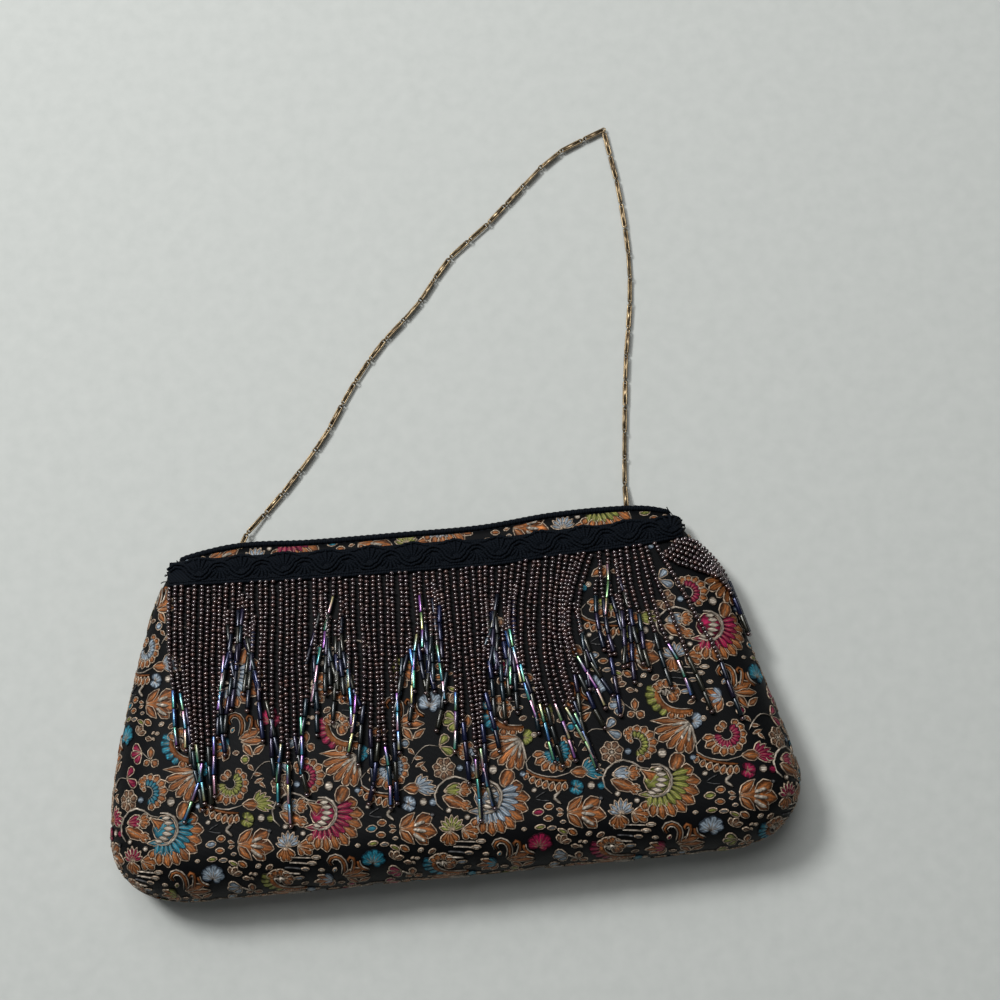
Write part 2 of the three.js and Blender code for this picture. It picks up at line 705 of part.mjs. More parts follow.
// Right run: its first ring stands at the top of the loop
const rightLine = routeLine(RIGHT_ROUTE);
const rightCount = Math.floor(rightLine.getLength() / CHAIN_PITCH);
const rightFirst = (RING.long - RING.wire) / 2 + CHAIN_PITCH / 2;
const rightLast = rightFirst + (rightCount - 1) * CHAIN_PITCH;
const rightEye = rightLast + flatReach(LINK) - GAP - EYE_WIRE / 2;

function mesh(name, geometry, finish) {
  const piece = new THREE.Mesh(geometry, new THREE.MeshStandardMaterial(finish));
  piece.name = name;
  return piece;
}

const bag = new THREE.Group();
bag.add(mesh('front_panel', panel(FRONT_GRID, frontAt), BROCADE));
bag.add(mesh('back_panel', panel(BACK_GRID, backAt), BROCADE));
bag.add(mesh('mouth_rim', mouthRim(), BLACK_CORD));
bag.add(mesh('braid_trim', braidTrim(), BLACK_CORD));
bag.add(mesh('bead_fringe', beadFringe(), BEADS));
bag.add(mesh('chain_left', chainRun(leftLine, leftCount, leftFirst, false), OLD_GOLD));
bag.add(mesh('chain_right', chainRun(rightLine, rightCount, rightFirst, true), OLD_GOLD));
bag.add(mesh('chain_eye_left', chainEye(leftLine, leftEye, -1), OLD_GOLD));
bag.add(mesh('chain_eye_right', chainEye(rightLine, rightEye, 1), OLD_GOLD));

export default bag;
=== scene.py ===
"""Looks of a brocade clutch bag with a bead fringe and a fine chain handle, laid on its back."""
import math

import bpy
import numpy as np
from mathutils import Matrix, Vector


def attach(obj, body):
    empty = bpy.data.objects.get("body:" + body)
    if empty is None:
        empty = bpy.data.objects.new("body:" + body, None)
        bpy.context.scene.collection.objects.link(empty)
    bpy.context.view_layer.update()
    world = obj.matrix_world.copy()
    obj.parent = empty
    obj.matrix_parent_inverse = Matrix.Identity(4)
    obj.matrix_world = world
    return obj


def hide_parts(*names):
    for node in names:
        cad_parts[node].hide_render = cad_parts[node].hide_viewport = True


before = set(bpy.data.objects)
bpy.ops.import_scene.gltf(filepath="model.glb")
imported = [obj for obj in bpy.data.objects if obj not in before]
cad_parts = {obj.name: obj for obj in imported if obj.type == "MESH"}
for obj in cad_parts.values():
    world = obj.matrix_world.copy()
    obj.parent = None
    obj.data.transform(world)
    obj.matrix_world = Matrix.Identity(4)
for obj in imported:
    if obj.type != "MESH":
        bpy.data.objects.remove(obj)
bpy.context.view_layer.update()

# Sizes are in millimetres, in the part's own frame, until a mesh is made
MM = 0.001
chance = np.random.default_rng(7)


def columns(names, *rows):
    """A table with named columns, from its rows."""
    return dict(zip(names.split(), np.array(rows, float).T))


# Plan outline, mouth edge and side view of the bag
OUTLINE = columns(
    "y left right",
    (-38, 123.4, 123.4), (-20, 121.6, 119.6), (0, 117.5, 114.2), (20, 112.4, 109.4),
    (36, 107.9, 105.2), (46, 104.5, 98.8), (57, 98.6, 91.2), (63.5, 91.5, 86.5),
)
BOTTOM_Y = -63.3
CORNER_WIDE = 32
CORNER_POWER = 2.3
CORNER_TOP_Y = OUTLINE["y"][0]
CORNER_DEEP = CORNER_TOP_Y - BOTTOM_Y
CORNER_STEPS = 31
OUTLINE_STEP = 2
OUTLINE_PAST_MOUTH = 12
MOUTH = columns(
    "x y",
    (-95, 60.6), (-71, 62.6), (-45, 60.8), (-11, 59.9), (19, 59.5), (44, 61.6), (63, 62.0),
    (80, 61.2), (89, 59.6),
)
MOUTH_MIDDLE_Y = 60.8
PROFILE = columns(
    "y seam top roll",
    (-64, 11, 33.5, 17), (-45, 11, 33.5, 17), (-20, 11, 32, 18), (5, 10, 28, 18),
    (30, 8, 21.8, 17), (50, 6, 15.8, 14), (63, 5, 12, 11),
)
CROWN_DROP = 3.5
BACK_ROLL = 12
BACK_PILE = 0.75
WALL = 1.8

# Trims
RIM_RADIUS = 1.15
RIM_SEAT = 0.45
BRAID = columns(
    "x lower upper",
    (-101, 50.4, 60.4), (-62, 47.9, 58.8), (-36, 46.5, 57.5), (0, 45.5, 56.6),
    (24, 44.9, 55.7), (44, 46.0, 56.4), (62, 46.5, 56.8), (80, 47.4, 57.6), (95, 49.4, 57.6),
)
BRAID_INSET = 1.2

# Fringe: bundles of strands, how the strands lie, and the beads on them
BUNDLES = columns(
    "peak start end seeds round",
    (-84.3, -108, -71, 42, 1.3), (-54, -71, -37, 42, 1.2), (-20.8, -37, -4.2, 43, 1.2),
    (10.9, -4.2, 25.9, 43, 1.2), (45.1, 25.9, 63, 38, 2), (81, 63, 99, 33, 1.1),
)
SHORT_STRAND_SEEDS = 6
FEWEST_SEEDS = 4
ROOT_STRAY = 0.28
SEEDS_STRAY, TUCKED_STRAY = 2.2, 1.2
STRAND_SWAY = 0.45
TUCKED_SEEDS = (8, 10, 12, 14, 16, 18, 21, 24)
TUCKED_SPREAD = 5.6
TUCKED_SHOWN = 4
BUNDLE_GATHER = 0.06
LIE = columns(
    "x bow drift",
    (-98, 0, 8), (-91, 0, 3), (-84, 0, -0.8), (-54, 0, -3), (-21, 0, -2.7), (11, 0, -0.6), (33, -5, 2),
    (45, -6, 9), (52, -9, 12), (59, -11, 13), (61.5, -1, -2), (67, 0, 2), (72, 0, 6), (75.5, 1, 11),
    (78.8, 3, 20), (81.3, 8.5, 23),
)
STRAND_ROOTS = np.arange(-97.6, 82, 2.45)
SWEPT_LOW = [(83.6, 43.2), (90, 38.7), (96.2, 35.8), (101.4, 33.3), (104.4, 28.6), (107, 17), (109.2, 8)]
SWEPT_HIGH = [(89.5, 48), (95.2, 47.6), (99.5, 43.9), (103.7, 37.4), (106.2, 31), (108.6, 22), (111.6, 9)]
SWEPT_STRANDS = 6
# Flowers under and between seed strands are left out: the black ground in the gaps stands in for their shade
COVER_STEP = 0.5
COVER_HALF = 140
COVER_AND_SHADE_REACH = 1.8
SEED_PITCH = 1.62
SEED_RADIUS = 0.98
BUGLE_LONG = 6.8
BUGLE_RADIUS = 0.92
BUGLES_PER_STRAND = 3
STRAND_LIFT = 1.35
TUCKED_LIFT = 1.05
SWEPT_OUTER = 0.7

# Chain: its wire loops, how it lies, and its routes in plan from the bag to the top of the loop and back
LINK = {"long": 10, "wide": 1.95, "wire": 0.58}
RING = {"long": 2.35, "wide": 2.35, "wire": 0.5}
LINK_SIDES, WIRE_SIDES = 10, 5
RING_GAP = 0.3
WEB_LONG = 7.5
WEB_THICK = 0.6
CHAIN_LEAD = 15
LINK_ROLL = 0.7
LINK_ROLL_STEP = 0.9
CHAIN_Z = 1.25
CHAIN_INSIDE_Z = 4.3
CHAIN_MOUTH_Y = 64
LEFT_ROUTE = [
    (-73.8, 44), (-73.6, 63.5), (-67, 72.6), (-59.8, 79.5), (-47.7, 92.6), (-36.5, 106.4), (-26.2, 122.4),
    (-12.8, 139.2), (2.1, 153.2), (15.8, 170.3), (31.8, 182.6), (48.4, 197.9), (62.5, 209.4), (81.9, 217.3),
]
RIGHT_ROUTE = [
    (81.9, 217.3), (83.2, 207), (85.0, 192), (85.9, 164.2), (84.1, 144), (80.2, 122.5), (77.4, 101.1),
    (75.1, 81.8), (74.2, 72.6), (73.8, 63.5), (73.7, 45),
]


# The bag's surfaces

def unit(ways):
    return ways / np.maximum(np.linalg.norm(ways, axis=-1, keepdims=True), 1e-9)


def curve_through(table, along, column, at):
    """Smooth curve through one column of a table, read at places along another."""
    xs, ys = table[along], table[column]
    slope = np.gradient(ys, xs)
    slope[1:-1] = (ys[2:] - ys[:-2]) / (xs[2:] - xs[:-2])
    k = np.clip(np.searchsorted(xs, at) - 1, 0, len(xs) - 2)
    span = xs[k + 1] - xs[k]
    reach = (at - xs[k]) / span
    f = np.clip(reach, 0, 1)
    rest = 1 - f
    ends = ys[k] * (1 + 2 * f) * rest * rest + ys[k + 1] * (3 - 2 * f) * f * f
    inside = ends + span * f * rest * (slope[k] * rest - slope[k + 1] * f)
    before = np.minimum(reach, 0) * span * slope[k]
    after = np.maximum(reach - 1, 0) * span * slope[k + 1]
    return inside + before + after


def half_width(x, y):
    """Half-width of the outline at a height, on the side where x lies."""
    side = np.where(x < 0, curve_through(OUTLINE, "y", "left", y), curve_through(OUTLINE, "y", "right", y))
    fall = np.clip((CORNER_TOP_Y - y) / CORNER_DEEP, 0, 1)
    reach = (1 - fall ** CORNER_POWER) ** (1 / CORNER_POWER)
    corner = OUTLINE["left"][0] - CORNER_WIDE * (1 - reach)
    return np.where(y >= CORNER_TOP_Y, side, corner)


def outline_points():
    """The outline from above the mouth on the left, round the bottom, to above it on the right."""
    ys = np.arange(OUTLINE["y"][-1] + OUTLINE_PAST_MOUTH, CORNER_TOP_Y, -OUTLINE_STEP)
    turn = np.linspace(0, math.pi / 2, CORNER_STEPS)
    corner_x = OUTLINE["left"][0] - CORNER_WIDE * (1 - np.cos(turn) ** (2 / CORNER_POWER))
    corner_y = CORNER_TOP_Y - CORNER_DEEP * np.sin(turn) ** (2 / CORNER_POWER)
    left = np.concatenate([
        np.stack([-half_width(-np.ones_like(ys), ys), ys], 1), np.stack([-corner_x, corner_y], 1)])
    right = np.concatenate([
        np.stack([half_width(np.ones_like(ys), ys), ys], 1), np.stack([corner_x, corner_y], 1)])
    return np.concatenate([left, right[::-1]])


OUTLINE_POINTS = outline_points()


def from_outline(x, y):
    """Distance from the outline, positive inside, and the way straight in from it."""
    places = np.stack([x, y], 1)
    distance = np.full(len(places), np.inf)
    inward = np.zeros_like(places)
    for start, end in zip(OUTLINE_POINTS[:-1], OUTLINE_POINTS[1:]):
        along = end - start
        share = np.clip((places - start) @ along / (along @ along), 0, 1)
        offset = places - start - share[:, None] * along
        apart = np.hypot(*offset.T)
        straight = np.array([-along[1], along[0]]) / np.hypot(*along)
        side = np.where(offset @ straight < 0, -1, 1)
        nearer = apart < np.abs(distance)
        distance[nearer] = (side * apart)[nearer]
        way = np.where((apart > 1e-6)[:, None], offset * (side / np.maximum(apart, 1e-6))[:, None], straight)
        inward[nearer] = way[nearer]
    return distance, inward


def front_height(x, y):
    """Seam height, roll and rise of the front at places in plan."""
    crown = CROWN_DROP * np.clip(x / half_width(x, y), -1, 1) ** 2
    seam = curve_through(PROFILE, "y", "seam", y)
    return seam, curve_through(PROFILE, "y", "roll", y), curve_through(PROFILE, "y", "top", y) - crown - seam


def back_height(x, y):
    """Seam height, roll and drop of the back at places in plan, clear of the floor by its pile of threads."""
    seam = curve_through(PROFILE, "y", "seam", y)
    return seam, np.full_like(seam, BACK_ROLL), BACK_PILE - seam


def on_surface(x, y, lift, heights):
    """Places over the front or the back, lifted off it along its normal."""
    distance, inward = from_outline(x, y)
    seam, roll, high = heights(x, y)
    turn = np.clip(1 - distance / roll, 0, 1)
    rise = np.sqrt(1 - turn * turn)
    steep = np.abs(high) * turn / roll
    slope = 0
    if heights is front_height:
        slope = (curve_through(PROFILE, "y", "top", y + 1) - curve_through(PROFILE, "y", "top", y - 1)) / 2
    normal = np.stack([
        -steep * inward[:, 0], -steep * inward[:, 1] - rise * slope, rise * np.sign(high)], 1)
    return np.stack([x, y, seam + high * rise], 1) + np.asarray(lift).reshape(-1, 1) * unit(normal)


def over_front(x, y, lift):
    """Places lifted off the front, from their plan places."""
    return on_surface(np.asarray(x, float), np.asarray(y, float), lift, front_height)


ROLL_ANGLES = np.linspace(0, math.pi / 2, 33)


def roll_arcs(roll, high):
    """Length of cloth over the edge's roll, from where it starts to each of the roll's angles."""
    middles = (ROLL_ANGLES[1:] + ROLL_ANGLES[:-1]) / 2
    steps = np.hypot(roll[:, None] * np.cos(middles), high[:, None] * np.sin(middles)) * ROLL_ANGLES[1]
    return np.concatenate([np.zeros((len(roll), 1)), np.cumsum(steps, 1)], 1)


def wrapped(x, y, heights):
    """Plan places of flat cloth that is drawn over the rolled edges, and which of it runs past the seam."""
    distance, inward = from_outline(x, y)
    _, roll, high = heights(x, np.clip(y, BOTTOM_Y, None))
    arcs = roll_arcs(roll, np.abs(high))
    want = np.clip(roll - distance, 0, arcs[:, -1])
    k = np.clip((arcs < want[:, None]).sum(1) - 1, 0, len(ROLL_ANGLES) - 2)
    rows = np.arange(len(k))
    share = (want - arcs[rows, k]) / np.maximum(arcs[rows, k + 1] - arcs[rows, k], 1e-9)
    angle = ROLL_ANGLES[k] + np.clip(share, 0, 1) * ROLL_ANGLES[1]
    drawn = np.where(distance < roll, roll * (1 - np.sin(angle)), distance)
    moved = np.stack([x, y], 1) + inward * (drawn - distance)[:, None]
    return moved[:, 0], moved[:, 1], roll - distance > arcs[:, -1]


def unwrapped(x, y, heights):
    """Flat cloth places of plan places, the reverse of wrapped."""
    distance, inward = from_outline(x, y)
    _, roll, high = heights(x, y)
    arcs = roll_arcs(roll, np.abs(high))
    angle = np.arcsin(np.clip(1 - distance / roll, 0, 1))
    at = angle / ROLL_ANGLES[1]
    k = np.clip(at.astype(int), 0, len(ROLL_ANGLES) - 2)
    rows = np.arange(len(k))
    arc = arcs[rows, k] + (at - k) * (arcs[rows, k + 1] - arcs[rows, k])
    flat = np.where(distance < roll, roll - arc, distance)
    moved = np.stack([x, y], 1) + inward * (flat - distance)[:, None]
    return moved[:, 0], moved[:, 1]


# Materials

def linear(red, green, blue):
    """A colour as the eye names it, 0 to 255, as light."""
    c = np.array([red, green, blue]) / 255
    return np.where(c <= 0.04045, c / 12.92, ((c + 0.055) / 1.055) ** 2.4)


def rgba(red, green, blue):
    return (*linear(red, green, blue), 1)


class Wire:
    """A node's output that Python's operators work on."""

    def __init__(self, finish, out):
        self.finish, self.out = finish, out

    def math(self, operation, *values):
        return self.finish.node("ShaderNodeMath", {"operation": operation}, values)

    def __add__(self, other):
        return self.math("ADD", self, other)

    def __sub__(self, other):
        return self.math("SUBTRACT", self, other)

    def __rsub__(self, other):
        return self.math("SUBTRACT", other, self)

    def __mul__(self, other):
        return self.math("MULTIPLY", self, other)

    def __pow__(self, other):
        return self.math("POWER", self, other)

    __radd__, __rmul__ = __add__, __mul__

    def wave(self):
        """0 to 1 and back for each whole step of the value."""
        return 0.5 + 0.5 * self.math("SINE", self * math.tau)


class Finish:
    """A material whose nodes are added as its expressions are written."""

    def __init__(self, name, fixed):
        self.material = bpy.data.materials.new(name)
        self.material.use_nodes = True
        self.tree = self.material.node_tree
        self.shader = self.tree.nodes["Principled BSDF"]
        for socket, value in fixed.items():
            self.shader.inputs[socket].default_value = value

    def node(self, kind, settings=None, sockets=(), out=0):
        """Adds a node: its settings first, then the values or links of its sockets."""
        made = self.tree.nodes.new(kind)
        for name, value in (settings or {}).items():
            setattr(made, name, value)
        named = sockets.items() if isinstance(sockets, dict) else enumerate(sockets)
        for name, value in named:
            if isinstance(value, Wire):
                self.tree.links.new(value.out, made.inputs[name])
            else:
                made.inputs[name].default_value = value
        return Wire(self, made.outputs[out])

    def mix(self, share, first, second, blend="MIX"):
        return self.node(
            "ShaderNodeMix", {"data_type": "RGBA", "blend_type": blend}, {0: share, 6: first, 7: second}, 2)

    def noise(self, where, scale, detail=3.0):
        return self.node("ShaderNodeTexNoise", {}, {"Vector": where, "Scale": scale, "Detail": detail})

    def fade(self, value, near, far):
        """1 up to a near value, falling smoothly to 0 at a far one."""
        ends = {"Value": value, "From Min": near, "From Max": far, "To Min": 1.0, "To Max": 0.0}
        return self.node("ShaderNodeMapRange", {"interpolation_type": "SMOOTHSTEP"}, ends)

    def split(self, where):
        parts = self.node("ShaderNodeSeparateXYZ", {}, [where])
        return [Wire(self, out) for out in parts.out.node.outputs]

    def placed(self):
        return self.node("ShaderNodeTexCoord", {}, (), "Object")

    def cloth_map(self, name):
        return self.node("ShaderNodeUVMap", {"uv_map": name})

    def painted(self, layer):
        return self.node("ShaderNodeVertexColor", {"layer_name": layer})

    def shade(self, **outputs):
        """Feeds the shader's colour and roughness, and bumps it by a height."""
        names = {"colour": "Base Color", "rough": "Roughness"}
        height = outputs.pop("height", None)
        for name, value in outputs.items():
            self.tree.links.new(value.out, self.shader.inputs[names[name]])
        if height:
            bump, strength, distance = height
            normal = self.node(
                "ShaderNodeBump", {}, {"Height": bump, "Strength": strength, "Distance": distance * MM})
            self.tree.links.new(normal.out, self.shader.inputs["Normal"])
        return self.material


CLOTH_MAP = "OFBake"
CORD_MAP = "ply"
SATIN_MAP = "satin"
CLOTH_SPAN = 300
THREAD_PAINT = "thread"
BEAD_PAINT = "glass"


def satin():
    """Black satin ground: fine weft lines with a low sheen."""
    f = Finish("black_satin", {"Specular IOR Level": 0.08})
    where = f.cloth_map(CLOTH_MAP)
    u, v, _ = f.split(where)
    weft = (v * (CLOTH_SPAN / 0.42)).wave()
    warp = (u * (CLOTH_SPAN / 0.9) + v * (CLOTH_SPAN / 1.7)).wave()
    cloudy = f.noise(where, 40)
    colour = f.mix(weft * 0.6 + cloudy * 0.4, rgba(5, 6, 7), rgba(18, 19, 21))
    return f.shade(
        colour=colour, rough=0.42 + 0.2 * cloudy + 0.1 * weft, height=(weft * 0.7 + warp * 0.3, 0.35, 0.12))


def lining():
    """Plain black lining with a fine weave."""
    f = Finish("black_lining", {"Specular IOR Level": 0.2})
    where = f.placed()
    x, y, _ = f.split(where)
    weave = (x * (1 / (0.7 * MM))).wave() * (y * (1 / (0.7 * MM))).wave()
    patchy = f.noise(where, 60)
    colour = f.mix(patchy, rgba(14, 14, 16), rgba(30, 29, 32))
    return f.shade(colour=colour, rough=0.6 + 0.25 * patchy, height=(weave, 0.3, 0.1))


def floats():
    """Coloured threads of the brocade: painted thread by thread, worn and shaded in small patches."""
    f = Finish("brocade_threads", {"Specular IOR Level": 0.14})
    where = f.cloth_map(CLOTH_MAP)
    _, v, _ = f.split(where)
    uneven = f.noise(where, 190, 4.0)
    patches = f.noise(where, 520, 2.0)
    across, along, _ = f.split(f.cloth_map(SATIN_MAP))
    stitches = (across * 1.9 + uneven * 1.6).wave()
    weft = (v * (CLOTH_SPAN / 0.5) + uneven * 0.6).wave()
    shade = (0.5 + 0.7 * stitches) * (0.8 + 0.2 * weft) * (0.6 + 0.8 * patches)
    dim = f.node("ShaderNodeCombineXYZ", {}, [shade, shade, shade])
    rib = f.fade(across.math("ABSOLUTE", across), 0.03, 0.2) * f.fade(along, 0.3, 0.8) * (0.2 + 0.8 * patches)
    ribbed = f.mix(rib * 0.75, f.painted(THREAD_PAINT), rgba(206, 178, 146))
    worn = f.mix(1.0, ribbed, dim, "MULTIPLY")
    return f.shade(colour=worn, rough=0.45 + 0.2 * uneven, height=(weft * 0.4 + stitches * 0.6, 0.5, 0.15))


def braid_thread():
    """Dull black cord, its plies twisted along it."""
    f = Finish("braid_thread", {"Specular IOR Level": 0.06})
    u, v, _ = f.split(f.cloth_map(CORD_MAP))
    ply = (v + u).wave()
    fuzz = f.noise(f.placed(), 900, 4.0)
    colour = f.mix(ply * 0.6 + fuzz * 0.4, rgba(4, 6, 9), rgba(19, 25, 33))
    return f.shade(colour=colour, rough=0.6 + 0.3 * fuzz, height=(ply * 0.8 + fuzz * 0.4, 0.6, 0.12))


def seed_glass():
    """Bronze-lustred seed beads with a hard shine."""
    f = Finish("bronze_seed", {"Metallic": 0.6, "Coat Weight": 1.0, "Coat IOR": 2.1, "Coat Roughness": 0.13})
    mottle = f.noise(f.placed(), 900)
    colour = f.mix(mottle * 0.4, f.painted(BEAD_PAINT), rgba(36, 22, 26))
    return f.shade(colour=colour, rough=0.26 + 0.12 * mottle)


def bugle_glass():
    """Dark iris glass: iris-coloured painted highlight streaks under a clear shine."""
    f = Finish("iris_bugle", {"Metallic": 0.55, "Coat Weight": 0.3, "Coat Roughness": 0.05})
    cloudy = f.noise(f.placed(), 350)
    colour = f.mix(cloudy * 0.3, f.painted(BEAD_PAINT), rgba(16, 20, 30))
    return f.shade(colour=colour, rough=0.16 + 0.12 * cloudy)


def old_gold():
    """Gold-coloured metal, tarnished in spots and scuffed."""
    f = Finish("old_gold", {"Metallic": 1.0})
    where = f.placed()
    tarnish = f.noise(where, 420, 5.0) ** 2.2
    scuffs = f.noise(where, 2600, 2.0)
    colour = f.mix(tarnish * 2.2, rgba(184, 163, 129), rgba(88, 74, 59))
    return f.shade(colour=colour, rough=0.3 + 0.3 * tarnish + 0.08 * scuffs, height=(scuffs, 0.15, 0.05))


def pale_floor():
    """Plain pale ground with a faint grain."""
    f = Finish("pale_floor", {"Specular IOR Level": 0.2})
    grain = f.noise(f.placed(), 180, 5.0)
    return f.shade(colour=f.mix(grain, rgba(200, 204, 200), rgba(214, 217, 213)), rough=0.8 + 0.1 * grain)


# Mesh making

def start_fresh():
    """Object mode with nothing selected, so that an operator acts on the new shape alone."""
    if bpy.context.mode != "OBJECT":
        bpy.ops.object.mode_set(mode="OBJECT")
    bpy.ops.object.select_all(action="DESELECT")


def rows_of(items, name, wide, kind):
    """One property of all the points, corners or faces of a mesh, as rows of numbers."""
    values = np.empty(len(items) * wide, kind)
    items.foreach_get(name, values)
    return values.reshape(-1, wide)


def mesh_numbers(obj):
    """Vertex places and face corners of a modelled piece, in millimetres."""
    points = rows_of(obj.data.vertices, "co", 3, float) / MM
    return points, [list(face.vertices) for face in obj.data.polygons]


def shape_of(obj):
    """Numbers of a shape that is modelled once, to be copied."""
    shape = mesh_numbers(obj)
    bpy.data.objects.remove(obj)
    return shape


def joined_mesh(name, points, faces, finishes, paint=None, maps=None):
    """One piece from places in millimetres, face corners, and colours and map places for each corner."""
    mesh = bpy.data.meshes.new(name)
    mesh.from_pydata(np.asarray(points) * MM, [], faces)
    for finish in finishes:
        mesh.materials.append(finish)
    if paint is not None:
        layer, colours = paint
        opaque = np.hstack([colours, np.ones((len(colours), 1))]).astype(np.float32)
        mesh.color_attributes.new(layer, "FLOAT_COLOR", "CORNER").data.foreach_set("color", opaque.ravel())
    for layer, places in (maps or {}).items():
        mesh.uv_layers.new(name=layer).uv.foreach_set("vector", np.asarray(places, np.float32).ravel())
    mesh.shade_smooth()
    piece = bpy.data.objects.new(name, mesh)
    bpy.context.scene.collection.objects.link(piece)
    return piece


def keep(piece, slot, *nodes):
    """Sets a finished piece on the bag."""
    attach(piece, "root")
    if nodes:
        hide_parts(*nodes)
    return piece


def copied_faces(faces, size, count):
    """Faces of a number of copies of a shape that has so many points."""
    return [[k * size + corner for corner in face] for k in range(count) for face in faces]


def copies(points, faces, frames, places):
    """Copies of a small shape, each turned by a frame and set at a place."""
    spots = np.einsum("kij,nj->kni", frames, points) + places[:, None]
    return spots.reshape(-1, 3), copied_faces(faces, len(points), len(places))


def smooth_line(points, steps):
    """Places spaced evenly along a smooth line through points, and the line's direction there."""
    p = np.asarray(points, float)
    gaps = np.maximum(np.linalg.norm(np.diff(p, axis=0), axis=1) ** 0.5, 1e-4)
    knots = np.concatenate([[0], np.cumsum(gaps)])
    fine = np.linspace(0, knots[-1], 40 * len(p))
    line = np.stack([curve_through({"knot": knots, "at": axis}, "knot", "at", fine) for axis in p.T], 1)
    return evenly(line, steps)


def line_lengths(line):
    """How far along a line each of its points lies."""
    return np.concatenate([[0], np.cumsum(np.linalg.norm(np.diff(line, axis=0), axis=1))])


NEARBY = 0.05


def evenly(line, steps):
    """Places along a line of close points at lengths from its start, or at a number of even steps."""
    far = line_lengths(line)
    at = np.linspace(0, far[-1], steps) if np.isscalar(steps) else np.asarray(steps, float)
    behind, spots, ahead = (
        np.stack([np.interp(at + step, far, axis) for axis in line.T], 1) for step in (-NEARBY, 0, NEARBY))
    return spots, unit(ahead - behind)


def frames_along(ways, up=(0, 0, 1)):
    """Frames whose third axis runs along each way, with the first axis level."""
    across = np.cross(np.broadcast_to(up, ways.shape), ways)
    across[np.linalg.norm(across, axis=1) < 1e-4] = (1, 0, 0)
    across = unit(across)
    return np.stack([across, np.cross(ways, across), ways], 2)


def cord(spots, ways, radius, sides, twist=0.0, plies=0, closed=False, swell=0.22):
    """Places, faces and cloth places of a cord along a line; plies twist round it."""
    frames = frames_along(ways)
    count = len(spots)
    turn = np.arange(sides) / sides * math.tau
    far = line_lengths(spots)
    ridges = swell * np.cos(plies * turn[None] - twist * far[:, None]) if plies else np.zeros((count, sides))
    size = np.broadcast_to(radius, (count,))[:, None] * (1 + ridges)
    ring = np.stack([np.cos(turn), np.sin(turn), np.zeros(sides)], 1)
    points = spots[:, None] + np.einsum("kij,nj->kni", frames, ring) * size[:, :, None]
    faces, cloth = [], []
    for k in range(count if closed else count - 1):
        n = (k + 1) % count
        for j in range(sides):
            m = (j + 1) % sides
            faces.append([k * sides + j, k * sides + m, n * sides + m, n * sides + j])
            a, b = far[k], far[k] + np.linalg.norm(spots[n] - spots[k])
            cloth += [(j / sides, a), ((j + 1) / sides, a), ((j + 1) / sides, b), (j / sides, b)]
    if not closed:
        faces.append(list(range(sides))[::-1])
        faces.append([(count - 1) * sides + j for j in range(sides)])
        cloth += [(0, 0)] * (2 * sides)
    return points.reshape(-1, 3), faces, cloth


def joined(parts):
    """Several shapes as one: their places, their faces, and whatever else they hold for each corner."""
    points, faces, *others = zip(*parts)
    base, together = 0, []
    for some, part in zip(points, faces):
        together += [[base + corner for corner in face] for face in part]
        base += len(some)
    return [np.concatenate(points), together, *(np.concatenate(other) for other in others)]


# Cloth shells

CLOTH_LOW = 85
MOUTH_PULL = 6
ROLL_REACH = 17
ROLL_STEPS = 11
ACROSS_STEPS = 110
DOWN_STEPS = 60
HALF_ACROSS = 115


def cloth_place(x, y, layer):
    """Flat cloth places on the cloth map, which has room for two layers."""
    return np.stack([x / CLOTH_SPAN + 0.5, (y + CLOTH_LOW) / CLOTH_SPAN + 0.5 * layer], -1)


def panel_places():
    """Plan places over a panel, in rows from the bottom to the mouth, closer where the edges roll over."""
    near = ROLL_REACH * (1 - np.sin(np.linspace(math.pi / 2, 0, ROLL_STEPS + 1)))
    side = 1 - near / HALF_ACROSS
    across = np.concatenate([-side, np.linspace(-side[-1], side[-1], ACROSS_STEPS)[1:-1], side[::-1]])
    above = np.linspace(BOTTOM_Y + ROLL_REACH, MOUTH_MIDDLE_Y, DOWN_STEPS)[1:]
    share, y = np.meshgrid(across, np.concatenate([BOTTOM_Y + near, above]))
    height = (y - BOTTOM_Y) / (MOUTH_MIDDLE_Y - BOTTOM_Y)
    x = share * half_width(share, y)
    y = y + height ** MOUTH_PULL * (curve_through(MOUTH, "x", "y", x) - MOUTH_MIDDLE_Y)
    return share * half_width(share, y), y


def map_cloth(shell, flat_x, flat_y):
    """Gives a shell the cloth map, from the flat cloth place of each of its points."""
    for layer in list(shell.data.uv_layers):
        shell.data.uv_layers.remove(layer)
    corners = rows_of(shell.data.loops, "vertex_index", 1, int).ravel()
    places = cloth_place(flat_x, flat_y, 0)[corners].astype(np.float32)
    shell.data.uv_layers.new(name=CLOTH_MAP).uv.foreach_set("vector", places.ravel())


def map_lining(shell):
    """Moves the inner faces of a shell to the second layer of the cloth map."""
    inside = rows_of(shell.data.polygons, "material_index", 1, int).ravel()
    totals = rows_of(shell.data.polygons, "loop_total", 1, int).ravel()
    layer = shell.data.uv_layers[CLOTH_MAP].uv
    places = rows_of(layer, "vector", 2, np.float32)
    places[np.repeat(inside, totals) == 1, 1] += 0.5
    layer.foreach_set("vector", places.ravel())


